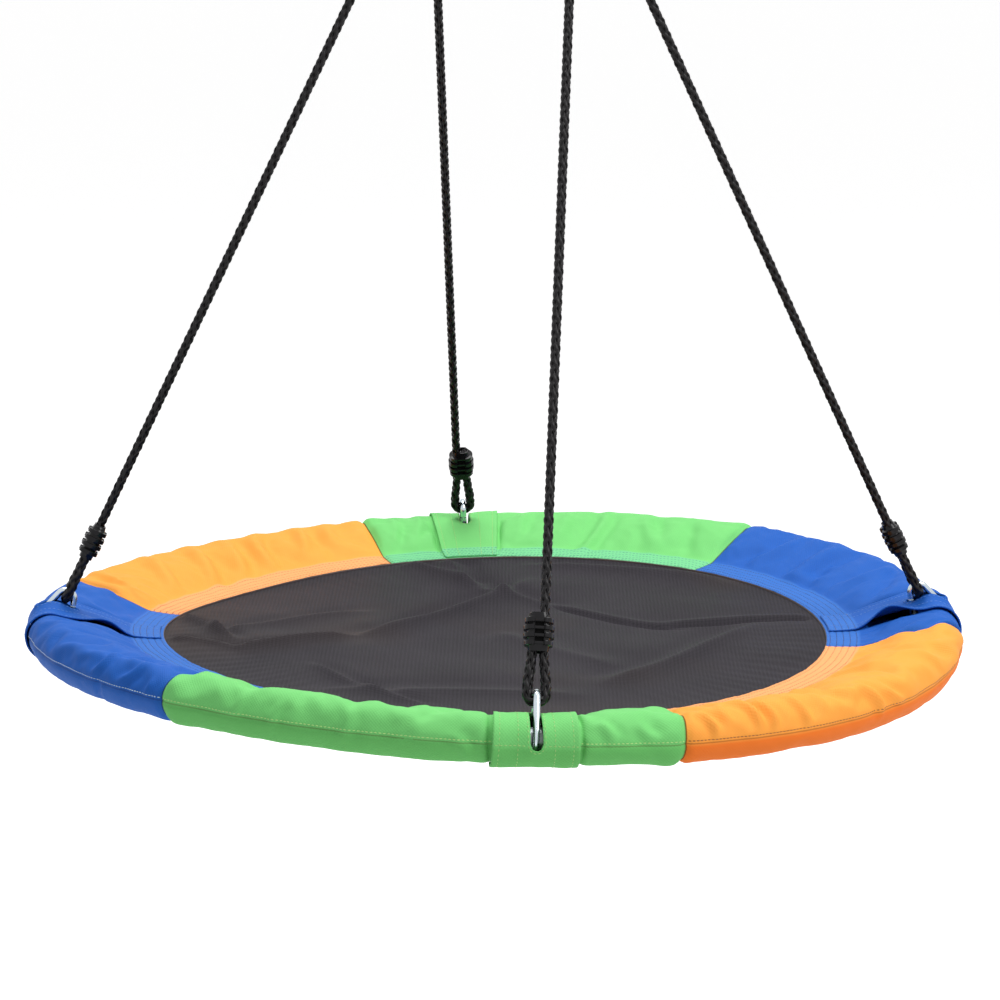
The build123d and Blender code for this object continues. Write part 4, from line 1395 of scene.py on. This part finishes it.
def pick(piece, kind, test):
    # selects the vertices, edges or faces that pass, and leaves the piece in edit mode
    startEdit("DESELECT")
    bpy.ops.mesh.select_mode(type=kind)
    bpy.ops.object.mode_set(mode="OBJECT")
    mesh = piece.data
    if kind == "FACE":
        for face in mesh.polygons:
            face.select = test(face.center, face.normal)
    elif kind == "EDGE":
        for edge in mesh.edges:
            edge.select = test(*[mesh.vertices[k].co for k in edge.vertices])
    else:
        for vertex in mesh.vertices:
            vertex.select = test(vertex.co)
    bpy.ops.object.mode_set(mode="EDIT")


def clampBlank():
    shape = clampShape
    length, window, near = shape["length"], shape["windowHalf"], shape["near"]
    coreWidth, coreDepth = shape["width"] - 2 * shape["ribHeight"], shape["depth"] - 2 * shape["ribHeight"]
    selectOnly()
    bpy.ops.mesh.primitive_cube_add(size=1)
    clamp = named("clamp_blank")
    startEdit()
    bpy.ops.transform.resize(value=(coreWidth, coreDepth, length), center_override=(0, 0, 0))
    bpy.ops.transform.translate(value=(0, 0, length / 2))
    pick(clamp, "EDGE", lambda a, b: abs(a.z - b.z) > length / 2)
    bpy.ops.mesh.bevel(offset=coreDepth / 2 - shape["flat"], segments=5, affect="EDGES")
    firstRib = (length - (shape["ribs"] - 1) * shape["ribPitch"] - shape["ribWidth"]) / 2
    ribs = [(firstRib + k * shape["ribPitch"], firstRib + k * shape["ribPitch"] + shape["ribWidth"])
            for k in range(shape["ribs"])]
    spare = (shape["ribWidth"] - shape["ledgeWidth"]) / 2
    ledges = [(low + spare, high - spare) for low, high in ribs]
    heights = [h for rib in ribs + ledges for h in rib] + [shape["endBand"], length - shape["endBand"]]
    cuts = [((0, 0, height), (0, 0, 1)) for height in heights]
    cuts += [((place, 0, 0), (1, 0, 0)) for place in (window, -window)]
    for place, normal in cuts:
        bpy.ops.mesh.select_all(action="SELECT")
        bpy.ops.mesh.bisect(plane_co=place, plane_no=normal)

    def on(bars, place):
        return any(low < place.z < high for low, high in bars)

    def between(place):
        return any(one[1] < place.z < two[0] for one, two in zip(ledges, ledges[1:]))

    pick(clamp, "FACE", lambda c, n: abs(n.z) < 0.3 and on(ribs, c) and abs(c.x) > window)
    extrudeBy(shape["ribHeight"])
    pick(clamp, "FACE", lambda c, n: abs(n.y) > 0.9 and on(ledges, c) and abs(c.x) < window)
    extrudeBy(shape["ledgeHeight"])
    pick(clamp, "FACE", lambda c, n: abs(n.y) > 0.9 and between(c) and abs(c.x) < window)
    bpy.ops.mesh.inset(thickness=shape["windowInset"])
    extrudeBy(-shape["windowDepth"])
    for way, end, (wide, deep) in ((-1, 0, shape["lowTaper"]), (1, length, shape["topTaper"])):
        pick(clamp, "FACE", lambda c, n: n.z * way > 0.9 and abs(c.z - end) < near)
        bpy.ops.mesh.inset(thickness=shape["endWall"])
        extrudeBy(-shape["endDepth"])
        pick(clamp, "VERT", lambda p: abs(p.z - end) < shape["endBand"] + near)
        bpy.ops.transform.resize(value=(wide, deep, 1), center_override=(0, 0, end))
    for low, high in (ribs[0], ribs[-1]):
        pick(clamp, "VERT", lambda p: low - near < p.z < high + near)
        bpy.ops.transform.resize(value=(*shape["endRibTaper"], 1), center_override=(0, 0, low))
    bpy.ops.object.mode_set(mode="OBJECT")
    applyModifier(clamp, "BEVEL", width=shape["round"], segments=2, limit_method="ANGLE",
                  angle_limit=radians(35))
    bpy.ops.object.shade_smooth_by_angle(angle=radians(40))
    # which of its points lie in a window, where the material paints shade
    x, y, z = pointsOf(clamp.data).T
    windowShadeMask = (np.abs(x) < window) & (np.abs(y) < coreDepth / 2 - shape["shadeFrom"])
    windowShadeMask &= (z > ledges[0][1]) & (z < ledges[-1][0])
    windowShade = clamp.data.attributes.new("windowShade", "FLOAT", "POINT")
    windowShade.data.foreach_set("value", windowShadeMask.astype(float))
    return clamp


def placeCopy(blank, name, across, along, spot):
    selectOnly(blank)
    bpy.ops.object.duplicate(linked=False)
    piece = named(name)
    place = Matrix((across, along.cross(across), along)).transposed().to_4x4()
    place.translation = spot
    piece.matrix_world = place
    bpy.ops.object.transform_apply(location=True, rotation=True, scale=True)
    return piece


def ropeClamps():
    blank = clampBlank()
    spots = [(f"rope_clamp_{k}", h["across"], h["along"], h["base"] + h["along"] * ropeShape["clampBottom"])
             for k, h in enumerate(hangers, 1)]
    spots += [(f"upper_clamp_{k}", Vector((0, 1, 0)), -hangDown(side), belowHook(side, upperClampBottom))
              for k, side in ((1, -1), (2, 1))]
    for number, (node, across, along, spot) in enumerate(spots, 1):
        clamp = placeCopy(blank, f"clamp_{number}", across, along, spot)
        finishPiece(clamp, clampMaterial, node)
    discard(blank)


ropeClamps()
print("clamps moulded")


# Metal parts of the frame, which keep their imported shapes
metalLooks = {"snap_hook": zincMaterial, "hook_gate": zincMaterial, "gate_pin": zincMaterial,
              "gate_spring": springMaterial, "hanging_ring": zincMaterial, "frame_tube": tubeMaterial,
              "frame_screws": zincMaterial}
for name, node in nodes.items():
    for start, material in metalLooks.items():
        if name.startswith(start):
            useMaterial(node, material)
print("metal parts plated")


# Studio
studio = {
    "floorBelow": 0.62,
    "floorSize": 120.0,
    "floorColour": "#F4F4F4",
    "floorGlow": 0.55,
    "worldLight": 0.44,
    # each lamp's place to the right, away and up as the camera sees it, its size and its watts
    "lamps": {"key_light": ((2.0, -1.2, 1.5), 1.8, 55), "top_light": ((-0.2, 0.7, 2.2), 2.2, 78)},
}


def seenDirectly(tree):
    # 1 where the camera, a reflection or a clear material looks, 0 for the light that falls on the swing
    path = addNode(tree, "LightPath", take="all")
    seen = addNode(tree, "Math", {"operation": "MAXIMUM"}, {0: path["Is Camera Ray"], 1: path["Is Glossy Ray"]})
    return addNode(tree, "Math", {"operation": "MAXIMUM"}, {0: seen, 1: path["Is Transmission Ray"]})


def paleFloor():
    selectOnly()
    height = cadBox[0].z - studio["floorBelow"]
    bpy.ops.mesh.primitive_plane_add(size=studio["floorSize"], location=(0, 0, height))
    floor = named("studio_floor")
    material, tree, shader = newMaterial("Studio paper white")
    glow = addNode(tree, "Math", {"operation": "MULTIPLY"}, {0: seenDirectly(tree), 1: studio["floorGlow"]})
    setInputs(tree, shader, {"Base Color": linearColour(studio["floorColour"]), "Roughness": 0.9,
                             "Emission Color": (1, 1, 1, 1), "Emission Strength": glow})
    useMaterial(floor, material)


def softLight(name, place, size, power):
    spot = Matrix.Rotation(radians(cameraPlace["turn"]), 4, "Z") @ Vector(place)
    bpy.ops.object.light_add(type="AREA", location=spot)
    light = named(name)
    light.data.shape = "DISK"
    light.data.size = size
    light.data.energy = power
    light.rotation_euler = (Vector((0, 0, rimHeight)) - spot).to_track_quat("-Z", "Y").to_euler()


def studioWorld():
    world = bpy.data.worlds.new("studio")
    bpy.context.scene.world = world
    world.use_nodes = True
    tree = world.node_tree
    strength = addNode(tree, "MapRange", inputs={
        "Value": seenDirectly(tree), "To Min": studio["worldLight"], "To Max": 1.0})
    setInputs(tree, tree.nodes["Background"], {"Color": (1, 1, 1, 1), "Strength": strength})


paleFloor()
studioWorld()
for name, lamp in studio["lamps"].items():
    softLight(name, *lamp)
bpy.context.scene.view_settings.view_transform = "Standard"
print("studio lit")
